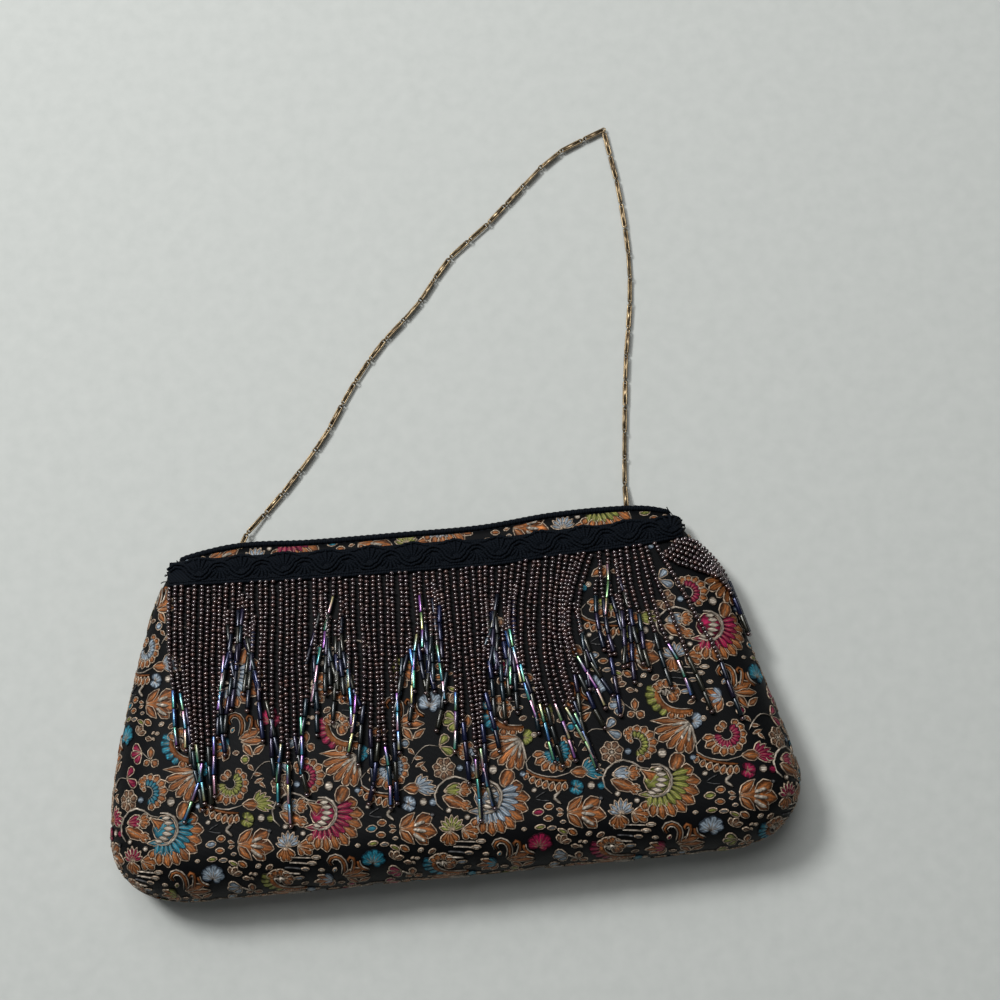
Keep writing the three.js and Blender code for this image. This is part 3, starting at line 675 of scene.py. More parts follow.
def cloth_shell(name, heights, finishes):
    """A panel of the bag: a grid drawn over its surface, with the wall's thickness inside."""
    x, y = panel_places()
    rows, across = x.shape
    start_fresh()
    bpy.ops.mesh.primitive_grid_add(x_subdivisions=across - 1, y_subdivisions=rows - 1, size=2)
    shell = bpy.context.object
    shell.name = shell.data.name = name
    flat, _ = mesh_numbers(shell)
    column = np.rint((flat[:, 0] * MM + 1) / 2 * (across - 1)).astype(int)
    row = np.rint((flat[:, 1] * MM + 1) / 2 * (rows - 1)).astype(int)
    px, py = x[row, column], y[row, column]
    shell.data.vertices.foreach_set("co", (on_surface(px, py, 0, heights) * MM).ravel())
    map_cloth(shell, *unwrapped(px, py, heights))
    for finish in finishes:
        shell.data.materials.append(finish)
    if heights is back_height:
        bpy.ops.object.mode_set(mode="EDIT")
        bpy.ops.mesh.select_all(action="SELECT")
        bpy.ops.mesh.flip_normals()
        bpy.ops.object.mode_set(mode="OBJECT")
    wall = shell.modifiers.new("wall", "SOLIDIFY")
    wall.thickness = (WALL - (BACK_PILE if heights is back_height else 0)) * MM
    wall.offset = -1
    wall.use_even_offset = True
    wall.material_offset = wall.material_offset_rim = 1
    bpy.ops.object.modifier_apply(modifier="wall")
    shell.data.shade_smooth()
    map_lining(shell)
    return shell


# Brocade chart: one repeat of the flowers, measured from the middle of the carnation.
# Tones: r rust, b brown, c cream, g grey, a the motif's accent, which changes from repeat to repeat.
# A petal is kind, tone, edge, base, tip and width; an edge of n leaves it without a pale outline.
# A thread is tone, width and the points it is drawn through.
# A motif is the accents it takes in turn, its petals and its threads.

REPEAT_WIDE = 57
REPEAT_DROP = (24, 52.4)
FIRST_MIDDLE = (-100, -37.3)
DRAWN_STEP, DRAWN_MORE = 55, 0.75
ACCENT_TURNS = {-2: 0, -1: 2, 0: 0, 1: 2, 2: 1}
# Each tone: painted shade for petal edges and thread sides, painted highlight for petal crowns and thread
# ridges
TONES = {
    "r": ((38, 17, 8), (152, 92, 48)),
    "b": ((34, 21, 15), (112, 80, 58)),
    "c": ((96, 85, 74), (206, 194, 178)),
    "g": ((38, 38, 42), (104, 104, 104)),
    "T": ((3, 40, 54), (40, 122, 142)),
    "M": ((56, 3, 24), (144, 26, 66)),
    "B": ((46, 56, 68), (146, 160, 172)),
    "O": ((42, 44, 14), (134, 138, 66)),
}
# Pale outline thread in painted light: shaded outer side, highlighted ridge, shaded inner side
OUTLINE_PAINTED_LIGHT = ((44, 34, 28), (204, 182, 158), (66, 49, 38))


def fan(tone, edge, middle, start, rows, kind="petal"):
    """Petals that spread from a middle: angle, reach and width of each."""
    petals = []
    for angle, reach, wide in rows:
        way = np.array([math.cos(math.radians(angle)), math.sin(math.radians(angle))])
        petals.append((kind, tone, edge, *(middle + start * way), *(middle + reach * way), wide))
    return petals


def spray(tone, edge, base, rows, kind="petal"):
    """Petals from one base: tip and width of each."""
    return [(kind, tone, edge, *base, *tip) for tip in rows]


def ovals(*rows, edge="c"):
    """Seeds and dots: tone, middle, half-length, half-width and turn of each."""
    found = []
    for tone, x, y, long, wide, turn in rows:
        way = np.array([math.cos(math.radians(turn)), math.sin(math.radians(turn))]) * long
        found.append(("oval", tone, edge, x - way[0], y - way[1], x + way[0], y + way[1], 2 * wide))
    return found


def arc(middle, radius, start, end, steps=7):
    """Points round part of a circle, between two angles."""
    turn = np.radians(np.linspace(start, end, steps))
    return [(middle[0] + radius * math.cos(t), middle[1] + radius * math.sin(t)) for t in turn]


MOTIFS = [
    # Carnation: outer petals, accent rays, a pale-edged cup with a boat below, pale teeth and a horn
    ("TMBO", [
        ("lobe", "r", "c", 5.8, 2.4, 9.0, 8.6, 4.2),
        *fan("r", "c", (0, 0), 7.5, [
            (12, 13.2, 4.4), (-7, 15, 4.3), (-23, 15.1, 4.2), (-38, 15.2, 4.1), (-54, 14.8, 4.0),
            (-70, 14, 3.8), (-86, 13.8, 3.7), (-102, 12.9, 3.4), (-119, 11.5, 3.1)]),
        *fan("a", "n", (0, 0), 5.0, [(a, 11.4 + a / 90, 2.6) for a in range(12, -118, -14)]),
        *ovals(("a", 0.2, -0.2, 4.7, 4.5, 0)),
        ("leaf", "a", "c", -6.8, -4.4, 1.6, -5.0, 2.2),
        *[("leaf", "c", "n", *row) for row in (
            (-0.6, 3.5, 3.0, 3.5, 1.7), (0.0, 1.9, 3.9, 1.6, 1.8), (-0.2, 0.1, 4.1, -0.4, 1.8),
            (-0.8, -1.5, 3.4, -2.3, 1.8), (-2.0, -2.8, 1.9, -4.0, 1.8), (-3.6, -3.6, -0.2, -4.7, 1.6))],
        ("horn", "r", "c", -5.2, 4.4, -0.2, 0.2, 5.0),
    ], [
        ("c", 1.4, arc((-0.3, -0.2), 5.6, 98, -130)),
        ("c", 1.0, [(-15, -3.2), (-16.6, -1.6), (-17.6, 0.4), (-17.2, 3.2), (-15.2, 5.9), (-12.6, 7.4),
                    (-9.2, 7.7), (-6.4, 6.2), (-4.2, 4.5), (-1.4, 4)]),
    ]),
    # Tulip in the curl of the stem, its notched leaf, and dots
    ("MBOB", [
        *spray("r", "c", (-9.2, 3.2), [
            (-5.6, 5.6, 2.4), (-4.6, 3.8, 2.6), (-4.8, 1.9, 2.5), (-6.2, 0.6, 2.3)]),
        *spray("a", "c", (-14.6, 3.2), [(-8.4, 5.4, 2.4), (-7.6, 3.4, 2.4), (-8.4, 1.5, 2.3)]),
        *spray("r", "c", (-9.6, -1.4), [(-5.2, -1.6, 2.0), (-4.8, -3.2, 2.0), (-6.4, -4.4, 2.0)]),
        ("leaf", "r", "c", -15.2, 1.6, -5.8, -3.2, 4.4),
        *ovals(
            ("c", 3.0, 8.9, 1.6, 1.5, 0), ("c", -13.2, -3.4, 1.1, 0.9, 20), ("c", -7.1, -6.3, 1.1, 0.9, 0),
            ("g", -18.9, -4.3, 0.9, 0.7, 0), ("B", 12.9, 6.4, 1.2, 1.0, 0), ("c", 16.2, 0.6, 1.1, 0.8, 20),
            edge="n"),
    ], [("c", 0.6, [(-14.2, 1.0), (-11, -0.6), (-7.6, -2.2)])]),
    # Bud on its stem, with a comb leaf, a small blossom and two dots
    ("OBTM", [
        *spray("a", "c", (32.8, 5.2), [
            (35.8, 10.1, 2.2), (37.9, 9.0, 2.3), (39.6, 7.2, 2.3), (40.7, 5.1, 2.2), (40.8, 3.0, 2.0),
            (38.5, 2.1, 1.7)]),
        ("petal", "r", "c", 28.6, 5.6, 35.2, 4.9, 3.8),
        *[("petal", "r", "c", *row) for row in (
            (14.8, 6.8, 13.2, 4.2, 2.1), (16.8, 5.5, 15.2, 2.6, 2.2), (18.9, 4.5, 17.2, 1.3, 2.3),
            (21.0, 3.7, 19.3, 0.4, 2.3), (23.1, 3.1, 21.5, -0.6, 2.3), (25.2, 2.7, 23.8, -1.3, 2.3),
            (27.0, 2.6, 26.2, -0.9, 2.2))],
        *spray("a", "n", (30.2, 0.2), [
            (30.4, 3.0, 2.7), (32.9, 1.0, 2.7), (31.6, -2.4, 2.7), (28.6, -1.8, 2.6)], "lobe"),
        *ovals(("c", 35.4, 0.3, 1.4, 1.25, -10), ("a", 38.7, -0.1, 1.5, 1.3, -10), edge="n"),
    ], [
        ("r", 1.4, [(14.2, 7.4), (16.8, 5.4), (20.6, 3.9), (24.2, 3.0), (27.4, 2.8)]),
        ("c", 0.9, [(16.2, 12.2), (14.4, 10.4), (14.2, 8.6), (16.4, 6.5), (20, 5), (24, 4.3), (29, 5.4)]),
    ]),
    # Lotus held in a pointed cup, a zigzag, a grey leaf and seeds
    ("BTMO", [
        ("horn", "r", "n", 26.4, -8.0, 32.6, -8.2, 7.4),
        ("petal", "r", "c", 31.2, -9.0, 36.0, -14.4, 3.8), ("petal", "r", "c", 31.2, -8.2, 39.6, -10.6, 4.8),
        ("petal", "r", "c", 31.2, -7.6, 38.2, -4.4, 4.7),
        ("leaf", "r", "c", 26.4, -7.8, 32.4, -2.7, 3.2), ("leaf", "r", "c", 26.4, -8.2, 31.4, -14.0, 3.2),
        ("leaf", "r", "c", 22.8, -6.4, 25.6, -7.4, 1.4), ("leaf", "r", "c", 22.8, -8.8, 25.6, -8.2, 1.4),
        *ovals(
            ("r", 20.6, -5.4, 1.9, 1.25, 0), ("a", 16.9, -7.0, 2.2, 1.25, 5), ("r", 20, -9.4, 1.9, 1.1, -5),
            ("O", 17, -12, 2.1, 0.95, 4), ("g", 20.9, -12.7, 1.8, 0.85, 0), ("O", 24.4, -14.2, 2.1, 0.9, -30),
            ("r", 27.6, -14.8, 2.0, 1.2, -35), ("c", 33, -16, 1.3, 0.85, 25), ("g", 24.8, -11, 1.2, 0.7, 0),
            ("b", 36.8, -17, 1.7, 1.0, 30), ("c", 11.6, -12.2, 1.1, 0.7, 0)),
    ], [
        ("c", 1.4, [(24.8, -0.9), (22.8, -2.4), (23, -3.2), (24.8, -4.9)]),
        ("g", 0.7, [(16.4, -2.2), (18, -1.2), (20, -0.3)]),
        ("g", 0.7, [(16.4, -2.5), (18.6, -3.2), (21, -3.5)]),
        ("c", 1.8, [(31.6, -7.6), (33.4, -6.9), (35.4, -6.5)]),
        ("c", 1.8, [(31.2, -8.7), (33.2, -9.2), (35.6, -9.7)]),
        ("c", 1.8, [(31.2, -10.1), (33, -11.7), (35, -13)]),
    ]),
    # Open flower, a small leaf, and pins with heads
    ("BTMB", [
        *spray("a", "n", (16.0, -19.4), [
            (12.2, -18.0, 2.6), (12.9, -15.6, 2.8), (15.0, -14.2, 2.8), (17.6, -13.9, 2.8),
            (19.8, -15.4, 2.8), (20.6, -18.0, 2.7), (18.6, -20.8, 2.4)], "lobe"),
        *spray("b", "c", (23.0, -18.6), [(22.8, -15.0, 2.0), (25.6, -15.4, 2.3), (27.2, -18.0, 2.1)]),
        ("leaf", "b", "c", 26.4, -20.2, 29.8, -21.2, 1.9),
        *ovals(
            ("c", -3.3, -14.9, 1.9, 0.85, -3), ("c", -5.1, -17, 1.9, 0.85, -6),
            ("g", -7.8, -19.1, 1.7, 0.8, -8), ("B", -10.7, -23, 2.2, 0.9, 0), ("c", 31.4, -19.2, 1.1, 0.7, 0),
            ("b", -9.2, -26.8, 1.6, 0.9, 12), ("c", -2.2, -20.4, 1.3, 0.8, -10)),
    ], [
        ("c", 0.7, [(-11.8, -14.1), (-8, -14.6), (-4.8, -15)]),
        ("c", 0.7, [(-12.8, -15.9), (-9, -16.5), (-6.4, -17)]),
        ("g", 0.7, [(-14.8, -17.6), (-11, -18.3), (-9, -18.9)]),
        ("c", 0.6, [(-15.4, -19.8), (-12, -20.6), (-9.8, -21)]),
    ]),
    # Small half-open flower over two rust buds
    ("MBOB", [
        *spray("r", "c", (-13.6, -10.0), [
            (-16.6, -14.2, 2.6), (-14.9, -15.7, 2.7), (-12.7, -15.8, 2.7), (-10.8, -14.3, 2.6)], "finger"),
        *spray("r", "c", (-9.4, -10.2), [
            (-4.6, -9.2, 2.5), (-3.0, -11.3, 2.7), (-4.2, -13.7, 2.6), (-7.6, -14.0, 2.4)], "finger"),
        *spray("a", "c", (-12.6, -10.4), [
            (-17.2, -8.8, 1.9), (-16.4, -6.6, 1.9), (-14.6, -5.2, 1.9), (-12.4, -4.6, 1.9),
            (-10.2, -5.2, 1.9), (-8.6, -6.7, 1.9), (-8.2, -8.7, 1.8)]),
    ], []),
    # Acanthus: leaves that sweep down from two curls, and a half-hidden flower
    ("OBTM", [
        ("petal", "r", "c", 4.4, -24.2, 12.6, -21.6, 3.6), ("petal", "r", "c", 5.0, -25.2, 14.2, -25.2, 3.0),
        ("leaf", "r", "c", 6.0, -25.8, 9.6, -31.0, 2.8), ("leaf", "r", "c", 9.4, -30.2, 14.2, -26.8, 2.4),
        *spray("r", "c", (1.2, -26.4), [
            (-4.4, -22.8, 2.9), (-6.2, -26.6, 3.0), (-4.8, -30.2, 2.9), (-1.4, -31.6, 2.7)]),
        *spray("a", "n", (1.0, -26.2), [(-1.4, -22.4, 2.4), (-3.0, -25.0, 2.4), (-2.6, -28.2, 2.3)]),
        *ovals(("a", 2.4, -20.8, 1.3, 0.8, 60), ("b", 3.4, -28.9, 1.5, 0.9, 0)),
    ], [
        ("r", 1.7, [
            (1.7, -18.7), (0.9, -17.4), (1.8, -15.8), (3.8, -15.5), (5.6, -17), (6.1, -19.8), (5.4, -23)]),
        ("c", 0.7, [
            (2.4, -18.4), (1.9, -17.4), (2.4, -16.5), (3.6, -16.3), (4.8, -17.4), (5.2, -19.8), (4.4, -23)]),
        ("c", 0.7, [
            (0.8, -18.6), (0.1, -17.2), (1.4, -15), (4, -14.6), (6.4, -16.6), (7, -19.8), (6.2, -23.4)]),
        ("r", 1.5, [(8, -18.2), (7.6, -17), (8.6, -16.2), (9.6, -17.2), (9.4, -19.6), (8.4, -22.8)]),
        ("c", 0.6, [(8.4, -17.6), (8.8, -17), (9, -18.6), (7.6, -22.6)]),
        ("r", 1.5, [(10.8, -18), (11, -19.8), (11.8, -21.4), (13.8, -22.8)]),
        ("c", 0.6, [(11.6, -17.8), (11.8, -19.6), (12.6, -20.9), (14.4, -22.2)]),
    ]),
    # Hearts on stems, a sprout, a sprig and a daisy
    ("MBOB", [
        *spray("a", "c", (-7.6, 27.2), [
            (-12.0, 30.2, 3.2), (-13.2, 26.9, 3.0), (-10.8, 23.4, 3.2)], "finger"),
        *spray("r", "c", (-4.2, 24.0), [(-4.0, 28.9, 2.6), (-7.2, 22.6, 2.4), (-1.2, 21.8, 3.0)]),
        *spray("a", "c", (-14.8, 18.7), [(-11.4, 22.6, 3.2), (-9.7, 15.6, 3.3)], "finger"),
        ("leaf", "r", "c", -25.6, 19.2, -23.2, 16.6, 1.6), ("leaf", "r", "c", -24.0, 15.6, -20.2, 15.2, 1.5),
        *fan("b", "c", (-13.6, 10.9), 0.6, [(a, 4.3, 2.9) for a in range(10, 360, 51)]),
        ("leaf", "r", "c", -23.6, 12.4, -19.6, 14.0, 1.5), ("leaf", "r", "c", -21.9, 13.0, -19.2, 10.2, 1.4),
        *ovals(("c", -13.6, 10.9, 0.8, 0.8, 0), ("B", -8.2, 10.6, 1.3, 1.1, 0), edge="n"),
    ], [
        ("c", 0.55, [(-7.6, 27.2), (-6.2, 25.8), (-4.6, 24.4)]),
        ("c", 0.65, [(-24.6, 13.8), (-22.4, 17), (-19, 19.4), (-14.8, 18.7)]),
    ]),
    # Curled flower: rust scallops round a comb of accent threads
    ("TMBO", [
        *fan("r", "c", (-5.7, 12.8), 3.4, [
            (100, 6.6, 2.8), (76, 7.0, 3.0), (51, 7.6, 3.1), (26, 8.0, 3.2), (1, 8.1, 3.3), (-24, 7.8, 3.2),
            (-49, 7.2, 3.0), (-73, 6.8, 2.8)]),
        *fan("a", "n", (-5.7, 12.8), 2.0, [(a, 4.9, 1.8) for a in range(84, -80, -20)]),
        ("lobe", "r", "c", -5.9, 16.4, -9.2, 17.4, 2.6), ("lobe", "r", "c", -6.1, 15.6, -8.8, 15.2, 2.3),
        ("lobe", "r", "c", -6.2, 14.8, -7.6, 13.4, 1.7),
    ], [("c", 0.7, arc((-5.7, 12.8), 2.1, 95, -70)), ("c", 0.6, arc((-5.7, 12.8), 4.9, 92, -80))]),
    # Curled flower that opens upward, and a ringed dot
    ("OBTM", [
        *fan("r", "c", (24.9, 13.0), 3.4, [
            (50, 6.6, 2.8), (24, 6.9, 3.0), (-2, 7.0, 3.0), (-28, 7.1, 3.0), (-54, 7.3, 3.0), (-80, 7.5, 3.0),
            (-106, 7.8, 3.0), (-131, 8.3, 3.0), (-154, 8.7, 2.9), (-176, 8.4, 2.6)]),
        *fan("a", "n", (24.9, 13.0), 1.5, [(a, 4.8, 1.9) for a in range(46, -176, -20)]),
        ("lobe", "r", "c", 25.2, 15.2, 23.2, 17.8, 2.2), ("lobe", "r", "c", 24.4, 14.6, 21.2, 16.0, 2.2),
        *ovals(("a", 30.6, 20.9, 1.8, 1.6, 0), ("c", 18.0, 19.4, 1.2, 1.0, 0)),
    ], [("c", 0.7, arc((24.9, 13.0), 1.8, 50, -160)), ("c", 0.6, arc((24.9, 13.0), 4.8, 52, -170, 9))]),
    # Palmette of long petals with pale ribs
    ("TTOB", [
        ("leaf", "r", "c", 13.2, 18.9, 0.0, 20.4, 3.0),
        *spray("r", "c", (13.4, 18.4), [
            (0.9, 16.4, 3.1), (2.0, 13.0, 3.3), (4.8, 10.2, 3.4), (8.2, 8.0, 3.5),
            (11.7, 7.5, 3.4)], "finger"),
        *spray("a", "n", (14.4, 18.8), [(17.2, 21.2, 2.7), (17.6, 18.2, 2.7), (15.8, 16.2, 2.3)], "lobe"),
    ], [
        ("c", 1.7, [(13.2, 18.5), (10.4, 18.4), (7.4, 18)]),
        ("c", 1.7, [(13.2, 18.1), (10.8, 16.8), (8, 15.2)]),
        ("c", 1.7, [(13.3, 17.8), (11.6, 15.6), (9.8, 12.8)]),
        ("c", 1.7, [(13.5, 17.5), (12.8, 14.6), (12.2, 11.8)]),
        ("c", 1.2, [(13.7, 17.4), (14.2, 14), (14.6, 10.8)]),
    ]),
    # Scroll with an accent back, rust lobes and a black eye
    ("TMTO", [
        *[("lobe", "a", "n", *row) for row in (
            (4.0, 30.4, 0.2, 32.2, 2.3), (3.4, 29.4, -0.6, 29.4, 2.4), (3.8, 27.6, -0.2, 26.8, 2.5),
            (4.8, 25.8, 1.4, 24.2, 2.5), (6.4, 24.2, 3.8, 22.0, 2.3))],
        *[("lobe", "r", "c", *row) for row in (
            (8.2, 23.0, 7.2, 19.9, 2.6), (11.0, 22.4, 10.8, 19.7, 2.5), (13.2, 22.4, 14.2, 20.6, 2.0),
            (5.2, 30.2, 2.4, 32.8, 2.6), (5.8, 31.0, 4.8, 34.4, 2.8), (7.0, 31.0, 7.6, 34.6, 2.8),
            (8.2, 30.4, 10.4, 32.8, 2.8), (8.6, 29.2, 11.8, 29.8, 2.7), (8.2, 30.2, 9.4, 25.8, 3.2))],
        *ovals(("c", -3.2, 33.6, 0.9, 0.5, 30), ("c", -3, 31.4, 0.9, 0.5, -60)),
    ], [
        ("r", 3.6, [(3.4, 30.4), (3.6, 27.6), (5.6, 24.6), (9, 22.6), (12.4, 22), (14.8, 22.4)]),
        ("c", 0.75, [(4.6, 29.4), (5.2, 27.2), (7, 25), (10, 23.6), (14.2, 23.2)]),
        ("c", 1.5, [(4.6, 29.6), (5.6, 30.8), (6.2, 28.4), (7.2, 30.6), (8.2, 28.8)]),
    ]),
]

# Half-widths at four stations from base to tip
STATIONS = np.array([0.1, 0.36, 0.67, 0.91])
SHAPES = {
    "petal": (0.4, 0.86, 0.98, 0.44), "leaf": (0.5, 1, 0.78, 0.27), "lobe": (0.6, 0.95, 1, 0.72),
    "oval": (0.56, 0.97, 0.97, 0.56), "horn": (0.2, 0.45, 0.85, 1), "finger": (0.3, 0.68, 1, 0.78),
}
OUTLINE_THREAD, PLAIN_EDGE = 0.48, 0.22
FULLNESS = {"petal": 1.2, "leaf": 1.2, "lobe": 1.3, "oval": 1.12, "horn": 1.0, "finger": 1.15}
STROKE_FULLNESS = 0.85
# How far in each of a petal's four rings lies, in outline threads, and its share of the width
# The narrow fourth ring is the crown, which takes the painted highlight of the fill
PETAL_RINGS = ((0, 1), (0.5, 1), (1, 1), (2.2, 0.3))
MOST_TRIM = 0.3
THINNEST = 0.07
THREAD_SHADES = 0.3
PETAL_POINTS = 10
STROKE_STEPS = 9
STROKE_TAPER = np.array([0.45, 0.85, 1, 1, 1, 1, 1, 0.85, 0.45])


def petal_rings(petals):
    """Outer edge, ridge, inner edge and crown of each petal, in flat cloth places."""
    base = np.array([p[3:5] for p in petals], float)
    tip = np.array([p[5:7] for p in petals], float)
    half = np.array([np.multiply(SHAPES[p[0]], p[7] / 2 * FULLNESS[p[0]]) for p in petals])
    edge = np.array([OUTLINE_THREAD if p[2] == "c" else PLAIN_EDGE for p in petals])
    long = np.linalg.norm(tip - base, axis=1)
    way = (tip - base) / long[:, None]
    side = np.stack([-way[:, 1], way[:, 0]], 1)
    rings = []
    for inset, width in PETAL_RINGS:
        trim = np.minimum(edge * inset, MOST_TRIM * long)
        near, far = base + way * trim[:, None], tip - way * trim[:, None]
        wide = np.maximum(half * width - (edge * min(inset, 1) * width)[:, None], THINNEST)
        middles = near[:, None] + (far - near)[:, None] * STATIONS[None, :, None]
        right = middles - side[:, None] * wide[:, :, None]
        left = middles + side[:, None] * wide[:, :, None]
        rings.append(np.concatenate([near[:, None], right, far[:, None], left[:, ::-1]], 1))
    return np.stack(rings, 1).reshape(len(petals), -1, 2)


def cap(ring, flip=False):
    """Faces that close a ring of ten points, in strips across it."""
    faces = [[0, 1, 9], [1, 2, 8, 9], [2, 3, 7, 8], [3, 4, 6, 7], [4, 5, 6]]
    return [[ring * PETAL_POINTS + c for c in (face[::-1] if flip else face)] for face in faces]


def petal_faces():
    """Faces of one petal and the painted light of each corner: 0-2 outline thread, shaded at its sides and
    highlighted on its ridge, 3-4 fill, shaded at its edge and highlighted on its crown.
    """
    faces = cap(0, True)
    shades = [0] * sum(len(face) for face in faces)
    for lower, shade in ((0, (0, 0, 1, 1)), (1, (1, 1, 2, 2)), (2, (3, 3, 4, 4))):
        for i in range(PETAL_POINTS):
            n = (i + 1) % PETAL_POINTS
            low, high = lower * PETAL_POINTS, (lower + 1) * PETAL_POINTS
            faces.append([low + i, low + n, high + n, high + i])
            shades += shade
    for face in cap(3):
        faces.append(face)
        shades += [4] * len(face)
    return faces, shades


def stroke_faces():
    """Faces of one raised thread: two slopes and a flat base, closed at its ends, and the painted light of
    each corner: painted shade at its edges and a painted highlight on its ridge.
    """
    faces, shades = [[0, 2, 1]], [0, 0, 1]
    for i in range(STROKE_STEPS - 1):
        a, b = 3 * i, 3 * i + 3
        faces += [[a + 2, a, b, b + 2], [a, a + 1, b + 1, b], [a + 1, a + 2, b + 2, b + 1]]
        shades += [0, 0, 0, 0, 0, 1, 1, 0, 1, 0, 0, 1]
    last = 3 * (STROKE_STEPS - 1)
    faces.append([last, last + 1, last + 2])
    return faces, shades + [0, 1, 0]


def stroke_rails(strokes):
    """Left edge, ridge and right edge of each drawn thread, in flat cloth places."""
    rails = []
    for _, wide, points in strokes:
        spots, ways = smooth_line(points, STROKE_STEPS)
        half = wide / 2 * STROKE_TAPER * (STROKE_FULLNESS if wide < 1 else 1)
        side = np.stack([-ways[:, 1], ways[:, 0]], 1) * half[:, None]
        rails.append(np.stack([spots - side, spots, spots + side], 1))
    return np.array(rails).reshape(len(strokes), -1, 2)


def petal_satin():
    """How far across and along its petal each point of the four rings lies."""
    wide = np.array(SHAPES["petal"])
    across = np.concatenate([[0], -wide, [0], wide[::-1]])
    along = np.concatenate([[0], STATIONS, [1], STATIONS[::-1]])
    return np.concatenate([np.stack([across * scale, along], 1) for scale in (1, 0.92, 0.84, 0.3)])


def stroke_satin():
    """How far across and along its thread each point of the three rails lies."""
    along = np.repeat(np.linspace(0, 1, STROKE_STEPS), 3)
    return np.stack([np.tile([-0.3, 0, 0.3], STROKE_STEPS), along], 1)


def repeats():
    """Each repeat that can reach the bag: its shift on the cloth and its place in the cycle of accents."""
    for row in range(-2, 3):
        for k in range(-3, 7):
            yield k * REPEAT_WIDE + row * REPEAT_DROP[0], row * REPEAT_DROP[1], (k + ACCENT_TURNS[row]) % 4


def drawn_wide(u):
    """Plan x of a place along the cloth, which is drawn a little wider towards the right."""
    step = u / REPEAT_WIDE
    return FIRST_MIDDLE[0] + DRAWN_STEP * step + DRAWN_MORE * step ** 2


def painted_light_of(tone, accent, outlined):
    """Painted light of the three parts of an outline thread, shaded sides and a highlighted ridge, and of a
    fill: painted shade at its low edge and a painted highlight on its high crown.
    """
    dark, light = (linear(*c) for c in TONES[accent if tone == "a" else tone])
    edge = [linear(*c) for c in OUTLINE_PAINTED_LIGHT] if outlined else [dark * 0.6, dark, dark]
    return [*edge, dark, light]


def petal_painted_light(row, accent):
    return painted_light_of(row[1], accent, row[2] == "c")


def stroke_painted_light(row, accent):
    return painted_light_of(row[0], accent, False)[3:]


def laid_over(row):
    """Whether a row of the chart is a pale tooth or a bold pale thread, which lie over the petals."""
    bold_thread = row[0] == "c" and row[1] > 1
    return bold_thread or row[:3] == ("leaf", "c", "n")


# The two kinds of thread work: their place in a motif, how they are drawn, given painted shade and highlight
# and lifted, their faces, and their layer of the cloth map
PETALS = {
    "rows": 1, "drawn": petal_rings, "shades": petal_painted_light, "faces": petal_faces(),
    "satin": petal_satin(), "lifts": np.repeat([-0.12, 0.30, 0.17, 0.34], PETAL_POINTS), "layer": 0,
}
THREADS = {
    "rows": 2, "drawn": stroke_rails, "shades": stroke_painted_light, "faces": stroke_faces(),
    "satin": stroke_satin(), "lifts": np.tile([-0.05, 0.55, -0.05], STROKE_STEPS), "layer": 1,
}
PILE_LAYERS, PILE_STEP = 16, 0.012
OVERLAY = 0.2
NEAR_X, NEAR_Y = 145, (-85, 70)
MOUTH_INSET = 0.3
MOSTLY = 0.8
RIBLESS = np.array([0, 2])
BRAID_COVER = 1.2


def charted(work):
    """All repeats of one kind of work: flat cloth places, colours of painted light, extra lift, and which
    have no pale rib.
    """
    flat, paint, extra, plain = [], [], [], []
    for motif in MOTIFS:
        accents, rows = motif[0], motif[work["rows"]]
        if not rows:
            continue
        drawn = work["drawn"](rows)
        for shift, rise, turn in repeats():
            flat.append(drawn + (shift, rise + FIRST_MIDDLE[1]))
            paint += [work["shades"](row, accents[turn]) for row in rows]
            extra += [(k % PILE_LAYERS) * PILE_STEP + OVERLAY * laid_over(row) for k, row in enumerate(rows)]
            plain += [work is THREADS or row[0] == "oval" for row in rows]
    return np.concatenate(flat), np.array(paint), np.array(extra), np.array(plain)


def under_trim_or_bead_shade(x, y, beaded_and_shaded):
    """Whether front cloth at a place is hidden by the braid, or lies under or between close rows of seed
    beads, where its bare black ground is painted shade.
    """
    lower, upper = curve_through(BRAID, "x", "lower", x), curve_through(BRAID, "x", "upper", x)
    cells = (((at + COVER_HALF) / COVER_STEP).astype(int) for at in (x, y))
    column, row = (np.clip(cell, 0, len(beaded_and_shaded) - 1) for cell in cells)
    return ((y > lower + BRAID_COVER) & (y < upper - BRAID_COVER)) | beaded_and_shaded[column, row]


